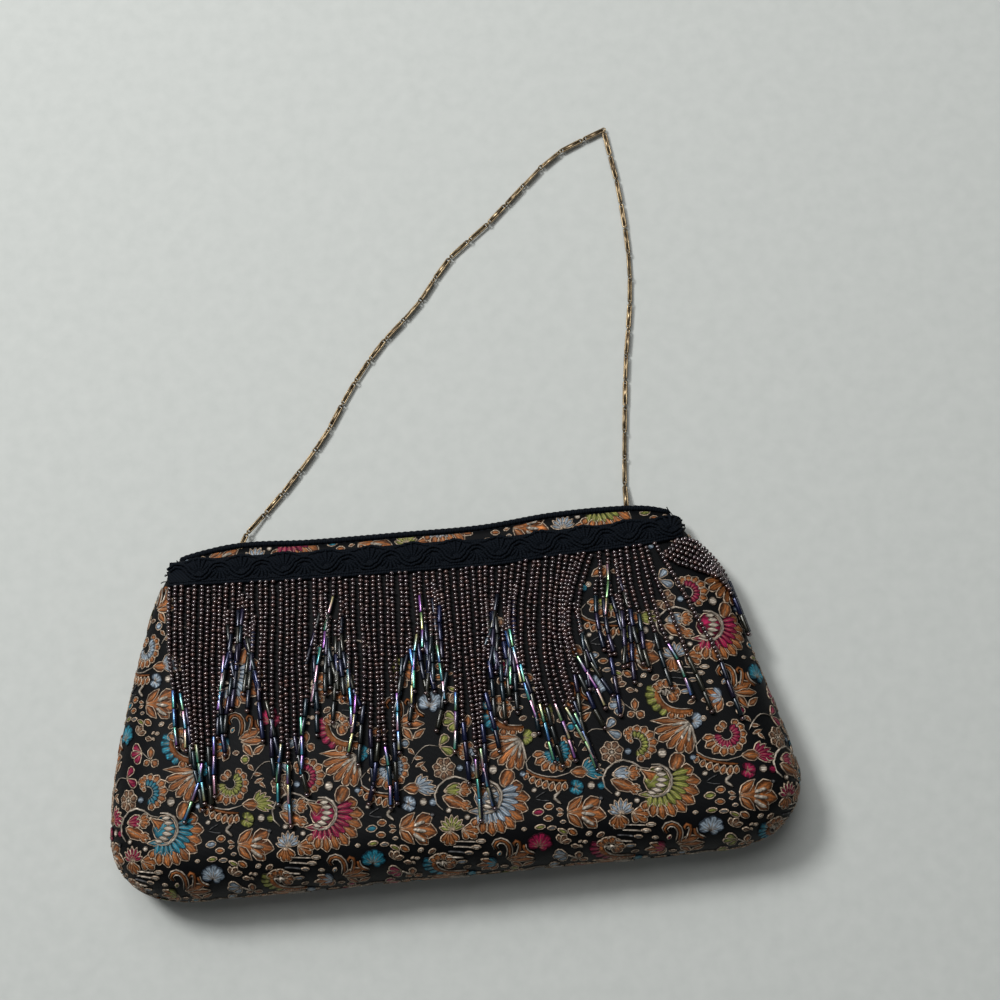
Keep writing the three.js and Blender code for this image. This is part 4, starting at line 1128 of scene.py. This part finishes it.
def laid_on_cloth(work, heights, mirrored, beaded_and_shaded):
    """One kind of work over a panel: places, faces, and colours, cloth and satin places for each corner."""
    flat, paint, extra, plain = charted(work)
    x = drawn_wide(flat[..., 0]) * (-1 if mirrored else 1)
    y = flat[..., 1]
    near = ((np.abs(x) < NEAR_X) & (y > NEAR_Y[0]) & (y < NEAR_Y[1])).any(1)
    x, y, paint, extra, plain = (part[near] for part in (x, y, paint, extra, plain))
    px, py, past = (part.reshape(x.shape) for part in wrapped(x.ravel(), y.ravel(), heights))
    mouth = curve_through(MOUTH, "x", "y", px) - MOUTH_INSET
    hidden = past | (py > mouth)
    # Flowers mostly under the trim are left out; between seed strands this leaves the black ground as painted
    # shade
    covered = hidden | under_trim_or_bead_shade(px, py, beaded_and_shaded) if heights is front_height else hidden
    shown = (covered.mean(1) < MOSTLY) & ~hidden.all(1)
    px, py = px[shown], np.minimum(py, mouth)[shown]
    lift = work["lifts"] + extra[shown][:, None]
    spots = on_surface(px.ravel(), py.ravel(), lift.ravel(), heights)
    faces, shades = work["faces"]
    corners = [corner for face in faces for corner in face]
    uneven = np.exp(chance.normal(0, THREAD_SHADES, px.shape))[:, corners, None]
    # Each corner takes its painted shade or highlight, varied at random thread by thread
    colours = paint[shown][:, shades] * uneven
    cloth = cloth_place(x, y, work["layer"])[shown][:, corners]
    satin_places = work["satin"][corners] + plain[shown][:, None, None] * RIBLESS
    return (spots, copied_faces(faces, px.shape[1], len(px)), colours.reshape(-1, 3), cloth.reshape(-1, 2),
            satin_places.reshape(-1, 2))


def brocade_flowers(name, heights, mirrored, beaded_and_shaded, finish):
    """The flowers over one panel: raised petals and threads that follow the cloth."""
    points, faces, colours, cloth, satin_places = joined(
        [laid_on_cloth(work, heights, mirrored, beaded_and_shaded) for work in (PETALS, THREADS)])
    return joined_mesh(
        name, points, faces, [finish], (THREAD_PAINT, colours), {CLOTH_MAP: cloth, SATIN_MAP: satin_places})


# Corded rim of the mouth

RIM_STEPS = 1300
RIM_EDGE_STEPS = 60
RIM_SIDES = 9
RIM_PLIES = 3
RIM_TWIST_LONG = 7
RIM_SWELL = 0.1
RIM_CORE = 0.92
RIM_FLOOR_GAP = 0.15


def mouth_rim(finish):
    """Twisted cord along the cut edges of both panels, closed round the mouth."""
    share = (1 - np.cos(np.linspace(0, math.pi, RIM_EDGE_STEPS)[:-1])) / 2
    left, right = -half_width(-1, MOUTH["y"][0]), half_width(1, MOUTH["y"][-1])
    lines = []
    for heights, along in ((front_height, share), (back_height, 1 - share)):
        x = left + (right - left) * along
        y = curve_through(MOUTH, "x", "y", np.clip(x, MOUTH["x"][0], MOUTH["x"][-1]))
        edge = on_surface(x, y, -WALL / 2, heights)
        edge[:, 1] += RIM_SEAT + RIM_RADIUS
        edge[:, 2] = np.maximum(edge[:, 2], RIM_RADIUS + RIM_FLOOR_GAP)
        lines.append(edge)
    loop = np.concatenate([*lines, lines[0][:1]])
    spots, ways = smooth_line(loop, RIM_STEPS + 1)
    length = line_lengths(loop)[-1]
    twist = math.tau * RIM_PLIES * round(length / RIM_TWIST_LONG) / length
    points, faces, cloth = cord(
        spots[:-1], ways[:-1], RIM_RADIUS * RIM_CORE, RIM_SIDES, twist, RIM_PLIES, True, RIM_SWELL)
    return joined_mesh("rim_cord", points, faces, [finish], maps={CORD_MAP: cloth})


# Braid over the fringe's roots

WAVE_PERIOD = 15.9
WAVE_CREST_X = 1
WAVE_HIGH = 2.6
WAVE_ROUND = 0.7
WAVE_CORD_APART = 0.68
BRAID_STEPS = 420
BRAID_LIFT = 0.3
BRAID_END_Y = (55.5, 53.5)
TAPE_COLUMNS, TAPE_ROWS = 150, 9
TAPE_THICK, TAPE_CROWN = 0.7, 0.5
EDGE_CORD, WAVE_CORD, LOOSE_CORD = 0.6, 0.58, 0.16
EDGE_CORD_LIFT, WAVE_CORD_LIFT, FAN_LIFT, LOOSE_LIFT = 0.9, 1.6, 1.15, 0.5
LOWER_CORD_IN, SECOND_CORD_IN, UPPER_CORD_IN = 0.55, 1.6, 0.6
UPPER_CORD_WAVE = 0.75
LOOSE_TURN, LOOSE_LONG = (-0.3, 1.3), (2, 5.5)
LOOSE_CURL = 0.8
LOOSE_IN = 1.5
LOOSE_LEFT, LOOSE_RIGHT = 9, 7
FAN_LOOPS = 7
FAN_SPREAD = 68
FAN_REACH, FAN_REACH_MORE = 5.6, 0.7
FAN_SEAT = 1.0
FAN_END_GAP = 3.4
FAN_INNER, FAN_SIDE_SHORT = 0.22, 0.12
FAN_STRAY = (0.92, 1.06)
FAN_TWIST = 5.0
FAN_CORD = 0.55 * np.array([0.8, 0.95, 1.05, 1.15, 1.05, 0.6])


def braid_line(share, x):
    """Plan line that runs along the braid, from its lower edge at 0 to its upper edge at 1."""
    lower, upper = (curve_through(BRAID, "x", name, x) for name in ("lower", "upper"))
    return lower + share * (upper - lower)


def braid_ends():
    """Plan x of the braid's two ends, just inside the outline."""
    return -half_width(-1, BRAID_END_Y[0]) + BRAID_INSET, half_width(1, BRAID_END_Y[1]) - BRAID_INSET


def braid_tape():
    """Woven tape under the cords: a strip with a rounded back, closed below."""
    x = np.linspace(*braid_ends(), TAPE_COLUMNS)
    shares = np.linspace(0, 1, TAPE_ROWS)
    crowned = BRAID_LIFT + TAPE_THICK + TAPE_CROWN * np.sin(math.pi * shares)
    points = [over_front(x, braid_line(share, x), lift) for share, lift in zip(shares, crowned)]
    points += [over_front(x, braid_line(share, x), BRAID_LIFT) for share in shares]
    faces, cloth = [], []

    def quad(a, b, c, d, k):
        faces.append([a, b, c, d])
        cloth.extend([(k, 0), (k + 1, 0), (k + 1, 1), (k, 1)])

    below = TAPE_ROWS * TAPE_COLUMNS
    up = TAPE_COLUMNS
    for r in range(TAPE_ROWS - 1):
        for k in range(TAPE_COLUMNS - 1):
            a = r * up + k
            quad(a, a + 1, a + up + 1, a + up, k)
            a += below
            quad(a, a + up, a + up + 1, a + 1, k)
    for k in range(TAPE_COLUMNS - 1):
        quad(below + k, below + k + 1, k + 1, k, k)
        a = (TAPE_ROWS - 1) * up + k
        quad(a, a + 1, below + a + 1, below + a, k)
    for r in range(TAPE_ROWS - 1):
        a = r * up
        quad(a, a + up, below + a + up, below + a, r)
        a += up - 1
        quad(below + a, below + a + up, a + up, a, r)
    return np.concatenate(points), faces, cloth


def laid_cord(x, y, lift, radius, sides=6, twist=2.4):
    """A twisted cord laid over the front along a line in plan."""
    spots = over_front(x, y, lift)
    return cord(spots, unit(np.gradient(spots, axis=0)), radius, sides, twist, 2)


def looped_fan(middle, side, reach):
    """Loops of thread that spread from the hollow of a wave towards an edge of the braid."""
    parts = []
    for angle in np.radians(np.linspace(-FAN_SPREAD, FAN_SPREAD, FAN_LOOPS)):
        long = reach * (1 - FAN_SIDE_SHORT * abs(math.sin(angle))) * chance.uniform(*FAN_STRAY)
        f = np.linspace(FAN_INNER, 1, len(FAN_CORD)) * long
        x = middle + f * math.sin(angle)
        y = braid_line(0.5, x) + side * (f * math.cos(angle) - FAN_SEAT)
        parts.append(laid_cord(x, y, BRAID_LIFT + FAN_LIFT, FAN_CORD, twist=FAN_TWIST))
    return parts


def loose_thread(x, y, way):
    """A frayed end that curls away from the braid."""
    turn, reach = chance.uniform(*LOOSE_TURN), chance.uniform(*LOOSE_LONG)
    f = np.linspace(0, 1, 9)
    px = x + way * reach * (f * math.cos(turn) + 0.15 * np.sin(f * chance.uniform(3, 7)))
    py = y + reach * (f * math.sin(turn) + 0.2 * np.sin(f * chance.uniform(2, 6)))
    inside = np.sign(px) * np.minimum(np.abs(px), half_width(px, py) - 0.4)
    return laid_cord(inside, py, BRAID_LIFT + LOOSE_LIFT + LOOSE_CURL * f, LOOSE_CORD, 4, 0)


def braid(finish):
    """Tape, edge cords, a double cord in waves with fans of loops in its hollows, and frayed ends."""
    left, right = braid_ends()
    parts = [braid_tape()]
    x = np.linspace(left + EDGE_CORD, right - EDGE_CORD, BRAID_STEPS)
    lower, middle, upper = (braid_line(share, x) for share in (0, 0.5, 1))
    wave = np.cos((x - WAVE_CREST_X) / WAVE_PERIOD * math.tau)
    uneven = 0.12 * np.sin(x * 0.83) + 0.08 * np.sin(x * 2.1 + 1)
    waved_edge = upper - UPPER_CORD_IN - UPPER_CORD_WAVE * wave + uneven
    for y in (lower + LOWER_CORD_IN, lower + SECOND_CORD_IN + uneven, waved_edge):
        parts.append(laid_cord(x, y, BRAID_LIFT + EDGE_CORD_LIFT, EDGE_CORD))
    waved = middle + np.sign(wave) * np.abs(wave) ** WAVE_ROUND * WAVE_HIGH + uneven
    slope = np.gradient(waved, x)
    for offset in (-WAVE_CORD_APART, WAVE_CORD_APART):
        shift = offset / np.sqrt(1 + slope ** 2)
        parts.append(laid_cord(x - slope * shift, waved + shift, BRAID_LIFT + WAVE_CORD_LIFT, WAVE_CORD))
    half = WAVE_PERIOD / 2
    for k in range(math.ceil((left + FAN_END_GAP) / half), math.floor((right - FAN_END_GAP) / half) + 1):
        side = 1 if k % 2 else -1
        parts += looped_fan(WAVE_CREST_X + k * half, side, FAN_REACH + (FAN_REACH_MORE if side > 0 else 0))
    for end, way, count in ((left, -1, LOOSE_LEFT), (right, 1, LOOSE_RIGHT)):
        at = end - way * LOOSE_IN
        for share in chance.uniform(0.15, 0.95, count):
            parts.append(loose_thread(at, braid_line(share, at), way))
    points, faces, cloth = joined(parts)
    return joined_mesh("wave_braid", points, faces, [finish], maps={CORD_MAP: cloth})


# Bead fringe

SEED_TONES = [(60, 31, 30), (70, 38, 34), (48, 26, 28), (84, 50, 42), (62, 34, 42)]
BUGLE_BODY = [(18, 25, 58), (14, 32, 40), (28, 22, 46), (30, 34, 33), (37, 37, 28), (14, 21, 38)]
# Iris colours of the painted highlight streak down the side of each bugle that faces the lamps
IRIS_HIGHLIGHT = [
    (76, 164, 138), (76, 116, 186), (146, 88, 168), (192, 184, 128), (66, 148, 172), (188, 140, 160),
    (124, 168, 112)]
IRIS_HIGHLIGHT_SHARE = 0.42
HIGHLIGHT_FACING_STRAY = 0.22
# Bugles without the bright painted highlight keep a faint streak in their body colour
DULL_START, DULL_END = 0.9, 1.3
# Facets that face up far enough take all or part of the painted highlight, which faces the lamps up and left
HIGHLIGHT_STREAK, HIGHLIGHT_STREAK_SIDE = (0.95, 1.0), (0.75, 0.16)
HIGHLIGHT_FACING = (-0.3, 0.1, 0.95)
TINT = (0.7, 1.35)
FLOP, FLOP_MORE = 0.1, 0.07
SWAY_WAVES = (5, 11)
ROOT_HIGH = (-0.8, 0.7)
INNER_LONG, INNER_LONGER = 0.5, 0.25
SEED_FLAT = 0.78
SEED_STRAY, SEED_TIP = 0.09, 0.06
BUGLE_SOFT = 0.25
FULL_LONG, GATHERED_LONG = 66, 84
LINE_STEPS = 120
LINE_SPARE = 1.06


def seed_shape():
    """A small flattened round bead, its hole along the third axis."""
    start_fresh()
    bpy.ops.mesh.primitive_uv_sphere_add(segments=8, ring_count=6, radius=SEED_RADIUS * MM)
    bead = bpy.context.object
    bead.scale = (1, 1, SEED_FLAT)
    bpy.ops.object.transform_apply(location=False, rotation=False, scale=True)
    return shape_of(bead)


def bugle_shape():
    """A straight glass tube with rounded ends, along the third axis."""
    start_fresh()
    bpy.ops.mesh.primitive_cylinder_add(
        vertices=10, radius=BUGLE_RADIUS * MM, depth=(BUGLE_LONG - BUGLE_SOFT) * MM)
    tube = bpy.context.object
    soft = tube.modifiers.new("soft", "BEVEL")
    soft.width = BUGLE_SOFT * MM
    soft.segments = 2
    soft.limit_method = "ANGLE"
    bpy.ops.object.modifier_apply(modifier="soft")
    return shape_of(tube)


def bundle_at(root):
    """The bundle that a strand's root belongs to."""
    k = np.clip(np.searchsorted(BUNDLES["end"], root), 0, len(BUNDLES["end"]) - 1)
    return {name: column[k] for name, column in BUNDLES.items()}


def seeds_at(root):
    """Seed beads on the strand at a root: most at a bundle's peak, fewest between bundles."""
    bundle = bundle_at(root)
    far = bundle["start"] if root < bundle["peak"] else bundle["end"]
    off = np.clip((root - bundle["peak"]) / (far - bundle["peak"]), 0, 1)
    return SHORT_STRAND_SEEDS + (bundle["seeds"] - SHORT_STRAND_SEEDS) * (1 - off ** bundle["round"])


def strand_line(root, long):
    """Plan line of a hanging strand, a little longer than it needs."""
    u = np.linspace(0, 1, LINE_STEPS)
    sway = STRAND_SWAY * np.sin(u * chance.uniform(*SWAY_WAVES) + chance.uniform(0, 6)) * np.minimum(1, 3 * u)
    size = min(1, long / FULL_LONG)
    bow, drift = (size * curve_through(LIE, "x", name, root) for name in ("bow", "drift"))
    gather = BUNDLE_GATHER * (bundle_at(root)["peak"] - root) * (long / GATHERED_LONG)
    x = root + bow * np.sin(math.pi * u) + (drift + gather) * u ** 2 + sway
    y = braid_line(0, root) + chance.uniform(*ROOT_HIGH) - LINE_SPARE * long * u
    return x, y


def swept_line(share):
    """Plan line of a strand of the bunch that is swept over the right shoulder."""
    low, high = np.array(SWEPT_LOW), np.array(SWEPT_HIGH)
    line, _ = smooth_line(low + share * (high - low), LINE_STEPS)
    return line[:, 0], line[:, 1]


def with_bugles(x, y, number, lift):
    """A strand's plan line, cut after its seeds and led on by three bugles that hang each its own way."""
    line = over_front(x, y, lift)
    stop = int(np.searchsorted(line_lengths(line), number * SEED_PITCH))
    xs, ys = list(x[:stop]), list(y[:stop])
    heading = math.atan2(y[stop] - y[stop - 2], x[stop] - x[stop - 2]) + chance.normal(0, FLOP)
    for long in [BUGLE_LONG] * BUGLES_PER_STRAND + [2 * SEED_PITCH]:
        steps = np.linspace(0, long, 8)[1:]
        px, py = xs[-1], ys[-1]
        xs += list(px + steps * math.cos(heading))
        ys += list(py + steps * math.sin(heading))
        heading += chance.normal(0, FLOP_MORE)
    return over_front(xs, ys, lift)


def bead_piece(name, shape, places, ways, up, paint, finish):
    """Beads of one shape: each set along its strand, with its own colour for every corner."""
    turned, corners = copies(*shape, frames_along(ways, up), places)
    return joined_mesh(name, turned, corners, [finish], (BEAD_PAINT, paint))


def tints(tones, count):
    """A tone for each of a number of beads, some lighter and some darker."""
    tint = np.array([linear(*tones[k]) for k in chance.integers(0, len(tones), count)])
    return tint * chance.uniform(*TINT, (count, 1))


def iris_highlight_paint(shape, count, bright):
    """Dark glass with a painted highlight: a streak along the side that faces up towards the lamps, its
    colour changing from end to end. Some strands have a bright streak, and none do after the first so many
    bugles (the tucked strands, which lie in shade, and the swept ones); the rest keep a faint streak."""
    points, faces = shape
    body, start, end = tints(BUGLE_BODY, count), tints(IRIS_HIGHLIGHT, count), tints(IRIS_HIGHLIGHT, count)
    strands = chance.random(count // BUGLES_PER_STRAND) > IRIS_HIGHLIGHT_SHARE
    dull = np.repeat(strands, BUGLES_PER_STRAND) | (np.arange(count) >= bright)
    start[dull], end[dull] = body[dull] * DULL_START, body[dull] * DULL_END
    paint = []
    for face in faces:
        middle = points[face].mean(0)
        straight = middle[1] / max(np.hypot(middle[0], middle[1]), 1e-6)
        share = next((amount for least, amount in (HIGHLIGHT_STREAK, HIGHLIGHT_STREAK_SIDE) if straight > least), 0)
        for corner in face:
            paint.append(body * (1 - share) + share * (start if points[corner, 2] > 0 else end))
    return np.stack(paint, 1).reshape(-1, 3)


def strand_beads(line, number, shown, tail):
    """Places and ways of a strand's last seeds and of the bugles after them, which end in one more seed."""
    start = number * SEED_PITCH
    at = (np.arange(number - shown, number) + 0.5) * SEED_PITCH
    bugles = start + (np.arange(tail) + 0.5) * BUGLE_LONG
    return evenly(line, np.append(at, start + tail * BUGLE_LONG + SEED_PITCH / 2)), evenly(line, bugles)


def hanging_strands():
    """Seeds and bugles of every strand: the bundles, those tucked into the valleys, and the swept bunch."""
    wanted = []
    for root in STRAND_ROOTS:
        strayed = root + chance.normal(0, ROOT_STRAY)
        wanted.append((strayed, seeds_at(root) + chance.normal(0, SEEDS_STRAY), STRAND_LIFT))
    for valley in BUNDLES["end"][:-1]:
        across = chance.permutation(np.linspace(-TUCKED_SPREAD, TUCKED_SPREAD, len(TUCKED_SEEDS)))
        for x, seeds in zip(across, TUCKED_SEEDS):
            wanted.append((valley + x, seeds + chance.normal(0, TUCKED_STRAY), TUCKED_LIFT))
    strands = []
    for root, seeds, lift in wanted:
        number = max(FEWEST_SEEDS, int(round(seeds)))
        long = number * SEED_PITCH + BUGLES_PER_STRAND * BUGLE_LONG + SEED_PITCH
        line = with_bugles(*strand_line(root, long), number, lift)
        shown = TUCKED_SHOWN if lift == TUCKED_LIFT else number
        strands.append(strand_beads(line, number, shown, BUGLES_PER_STRAND))
    for share in np.linspace(0, 1, SWEPT_STRANDS):
        line = over_front(*swept_line(share), STRAND_LIFT)
        tail = BUGLES_PER_STRAND if share > SWEPT_OUTER else 0
        long = line_lengths(line)[-1] * (1 if tail else INNER_LONG + INNER_LONGER * share)
        number = int((long - tail * BUGLE_LONG - SEED_PITCH) / SEED_PITCH)
        strands.append(strand_beads(line, number, number, tail))
    return zip(*strands)


def bead_cover_and_shade(seeds):
    """Plan cells under seed beads and in the gaps of their strands, left bare of flowers as painted shade."""
    count = int(2 * COVER_HALF / COVER_STEP)
    beaded_and_shaded = np.zeros((count, count), bool)
    reach = np.arange(-COVER_AND_SHADE_REACH, COVER_AND_SHADE_REACH + 0.01, COVER_STEP)
    places = np.concatenate([spots for spots, _ in seeds])
    for dx in reach:
        for dy in reach:
            if math.hypot(dx, dy) <= COVER_AND_SHADE_REACH:
                cells = ((places[:, :2] + (dx, dy) + COVER_HALF) / COVER_STEP).astype(int)
                beaded_and_shaded[cells[:, 0], cells[:, 1]] = True
    return beaded_and_shaded


def fringe(seeds, bugles, seed_finish, bugle_finish):
    """The seed beads as one piece, and the bugles as another."""
    seed, bugle = seed_shape(), bugle_shape()
    places, ways = (np.concatenate(part) for part in zip(*seeds))
    places = places + chance.normal(0, SEED_STRAY, places.shape)
    ways = unit(ways + chance.normal(0, SEED_TIP, ways.shape))
    corners = sum(len(face) for face in seed[1])
    bronze = np.repeat(tints(SEED_TONES, len(places)), corners, 0)
    yield bead_piece("seed_beads", seed, places, ways, (0, 0, 1), bronze, seed_finish)
    places, ways = (np.concatenate(part) for part in zip(*bugles))
    # Each bugle's painted highlight faces up towards the lamps, a little askew
    up = unit(HIGHLIGHT_FACING + chance.normal(0, HIGHLIGHT_FACING_STRAY, places.shape))
    iris = iris_highlight_paint(bugle, len(places), len(STRAND_ROOTS) * BUGLES_PER_STRAND)
    yield bead_piece("bugle_beads", bugle, places, ways, up, iris, bugle_finish)


# Chain

ROUTE_STEPS = 1500
RING_SEGMENTS = 16


def flat_reach(long, wide, wire):
    """How far from a loop's middle the next loop is held, by the facets of the solids."""
    bend = (wide - wire) / 2 - wire / 2 * math.cos(math.pi / WIRE_SIDES)
    return (long - wide) / 2 + bend * math.cos(math.pi / LINK_SIDES)


CHAIN_PITCH = 2 * (flat_reach(**LINK) + flat_reach(**RING))


def wire_loop(long, wide, wire):
    """A wire ring, drawn out along the first axis where it is longer than wide."""
    start_fresh()
    bpy.ops.mesh.primitive_torus_add(
        major_radius=(wide - wire) / 2 * MM, minor_radius=wire / 2 * MM, major_segments=RING_SEGMENTS,
        minor_segments=8, rotation=(0, 0, math.pi / RING_SEGMENTS))
    bpy.ops.object.transform_apply(location=False, rotation=True, scale=False)
    points, faces = shape_of(bpy.context.object)
    points[:, 0] += np.sign(points[:, 0]) * (long - wide) / 2
    return points, faces


def link_web():
    """The pressed plate that fills a long link between its ends, where the rings go through."""
    start_fresh()
    bpy.ops.mesh.primitive_cube_add(size=MM)
    plate = bpy.context.object
    plate.scale = (WEB_LONG, LINK["wide"] - LINK["wire"], LINK["wire"] * WEB_THICK)
    bpy.ops.object.transform_apply(location=False, rotation=False, scale=True)
    return shape_of(plate)


def turned_about_way(way, turn):
    """Frame with its first axis along a way and its third up, turned about the way."""
    side = unit(np.cross((0, 0, 1), way))
    up = np.cross(way, side)
    c, s = math.cos(turn), math.sin(turn)
    return np.stack([way, c * side + s * up, c * up - s * side], 1)


def chain_half(name, line, first, count, starts_with_ring, finish):
    """Long links joined by small rings along a route."""
    at = first + (np.arange(count + 1) - 0.5) * CHAIN_PITCH
    spots, _ = evenly(line, at)
    near_end = np.minimum(np.arange(count), count - 1 - np.arange(count)) / 2
    rolls = LINK_ROLL * np.sin(LINK_ROLL_STEP * np.arange(count)) * np.minimum(1, near_end)
    links = np.array([turned_about_way(*both) for both in zip(unit(np.diff(spots, axis=0)), rolls)])
    held = np.arange(0 if starts_with_ring else 1, count)
    ways = unit(evenly(line, at[held] + RING["long"])[0] - evenly(line, at[held] - RING["long"])[0])
    turns = (rolls[np.maximum(held - 1, 0)] + rolls[held]) / 2 + math.pi / 2
    rings = np.array([turned_about_way(*both) for both in zip(ways, turns)])
    middles = (spots[1:] + spots[:-1]) / 2
    points, faces = joined([
        copies(*wire_loop(**LINK), links, middles), copies(*link_web(), links, middles),
        copies(*wire_loop(**RING), rings, spots[held])])
    return joined_mesh(name, points, faces, [finish])


def chain_route(route):
    """Close points along a chain's route, led straight on past both ends, and the length of the route."""
    path = [(x, y, CHAIN_INSIDE_Z if y < CHAIN_MOUTH_Y else CHAIN_Z) for x, y in route]
    line, ways = smooth_line(path, ROUTE_STEPS)
    led_on = [line[:1] - CHAIN_LEAD * ways[:1], line, line[-1:] + CHAIN_LEAD * ways[-1:]]
    return np.concatenate(led_on), line_lengths(line)[-1]


def chain(finish):
    """Both halves of the handle, which meet at the top of its loop."""
    left_line, left_long = chain_route(LEFT_ROUTE)
    right_line, right_long = chain_route(RIGHT_ROUTE)
    left_count, right_count = int(left_long / CHAIN_PITCH), int(right_long / CHAIN_PITCH)
    left_last = CHAIN_LEAD + left_long + RING["wire"] / 2 + RING_GAP - flat_reach(**LINK)
    left_first = left_last - (left_count - 1) * CHAIN_PITCH
    right_first = CHAIN_LEAD + (RING["long"] - RING["wire"]) / 2 + CHAIN_PITCH / 2
    return (chain_half("left_chain", left_line, left_first, left_count, False, finish),
            chain_half("right_chain", right_line, right_first, right_count, True, finish))


# The bag

ground, inside, threads = satin(), lining(), floats()
black_thread, gold = braid_thread(), old_gold()
keep(cloth_shell("front_cloth", front_height, [ground, inside]), "brocade", "front_panel")
keep(cloth_shell("back_cloth", back_height, [ground, inside]), "brocade", "back_panel")
seeds, bugles = hanging_strands()
beaded_and_shaded = bead_cover_and_shade(seeds)
keep(brocade_flowers("front_flowers", front_height, False, beaded_and_shaded, threads), "brocade", "front_panel")
keep(brocade_flowers("back_flowers", back_height, True, beaded_and_shaded, threads), "brocade", "back_panel")
keep(mouth_rim(black_thread), "black_cord", "mouth_rim")
keep(braid(black_thread), "black_cord", "braid_trim")
for beads in fringe(seeds, bugles, seed_glass(), bugle_glass()):
    keep(beads, "beads", "bead_fringe")
for half, node in zip(chain(gold), ("chain_left", "chain_right")):
    keep(half, "old_gold", node)
for node in ("chain_eye_left", "chain_eye_right"):
    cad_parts[node].data.materials.clear()
    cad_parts[node].data.materials.append(gold)


# Floor, light and camera, in metres

FLOOR_WIDE, FLOOR_Z = 4, -0.0004
CAMERA_PLACE = (0.04148, -0.04966, 0.59)
CAMERA_TURN = (11.5496, 2.5589, -5.5)
CAMERA_LENS = 57.24
CAMERA_SENSOR = 36


def pale_stage():
    """The floor that the bag lies on, which isn't part of it."""
    start_fresh()
    bpy.ops.mesh.primitive_plane_add(size=FLOOR_WIDE, location=(0, 0, FLOOR_Z))
    floor = bpy.context.object
    floor.name = "floor"
    bpy.ops.object.transform_apply(location=True, rotation=False, scale=False)
    floor.data.materials.append(pale_floor())


def soft_light(name, place, aim, size, watts):
    """A round lamp that faces its aim."""
    lamp = bpy.data.lights.new(name, "AREA")
    lamp.shape = "DISK"
    lamp.size = size
    lamp.energy = watts
    light = bpy.data.objects.new(name, lamp)
    light.location = place
    light.rotation_euler = (Vector(aim) - Vector(place)).to_track_quat("-Z", "Y").to_euler()
    bpy.context.scene.collection.objects.link(light)


def sky(strength, colour):
    """Even light from all round."""
    world = bpy.data.worlds.new("sky")
    world.use_nodes = True
    light = world.node_tree.nodes["Background"].inputs
    light["Color"].default_value = (*colour, 1)
    light["Strength"].default_value = strength
    bpy.context.scene.world = world


def photo_camera():
    """The camera above the bag, tipped, leaned and rolled as the photograph's was."""
    seen = bpy.data.cameras.new("photo")
    seen.lens = CAMERA_LENS
    seen.sensor_width = CAMERA_SENSOR
    camera = bpy.data.objects.new("photo", seen)
    camera.location = CAMERA_PLACE
    camera.rotation_euler = np.radians(CAMERA_TURN)
    bpy.context.scene.collection.objects.link(camera)
    bpy.context.scene.camera = camera


pale_stage()
soft_light("window", (-0.7, 0.8, 1.25), (0, 0.02, 0), 0.42, 15)
soft_light("daylight", (-0.3, 1.35, 2.2), (0, 0.05, 0), 2.2, 29)
sky(0.1, (0.95, 0.98, 1))
photo_camera()
bpy.context.scene.view_settings.view_transform = "Standard"
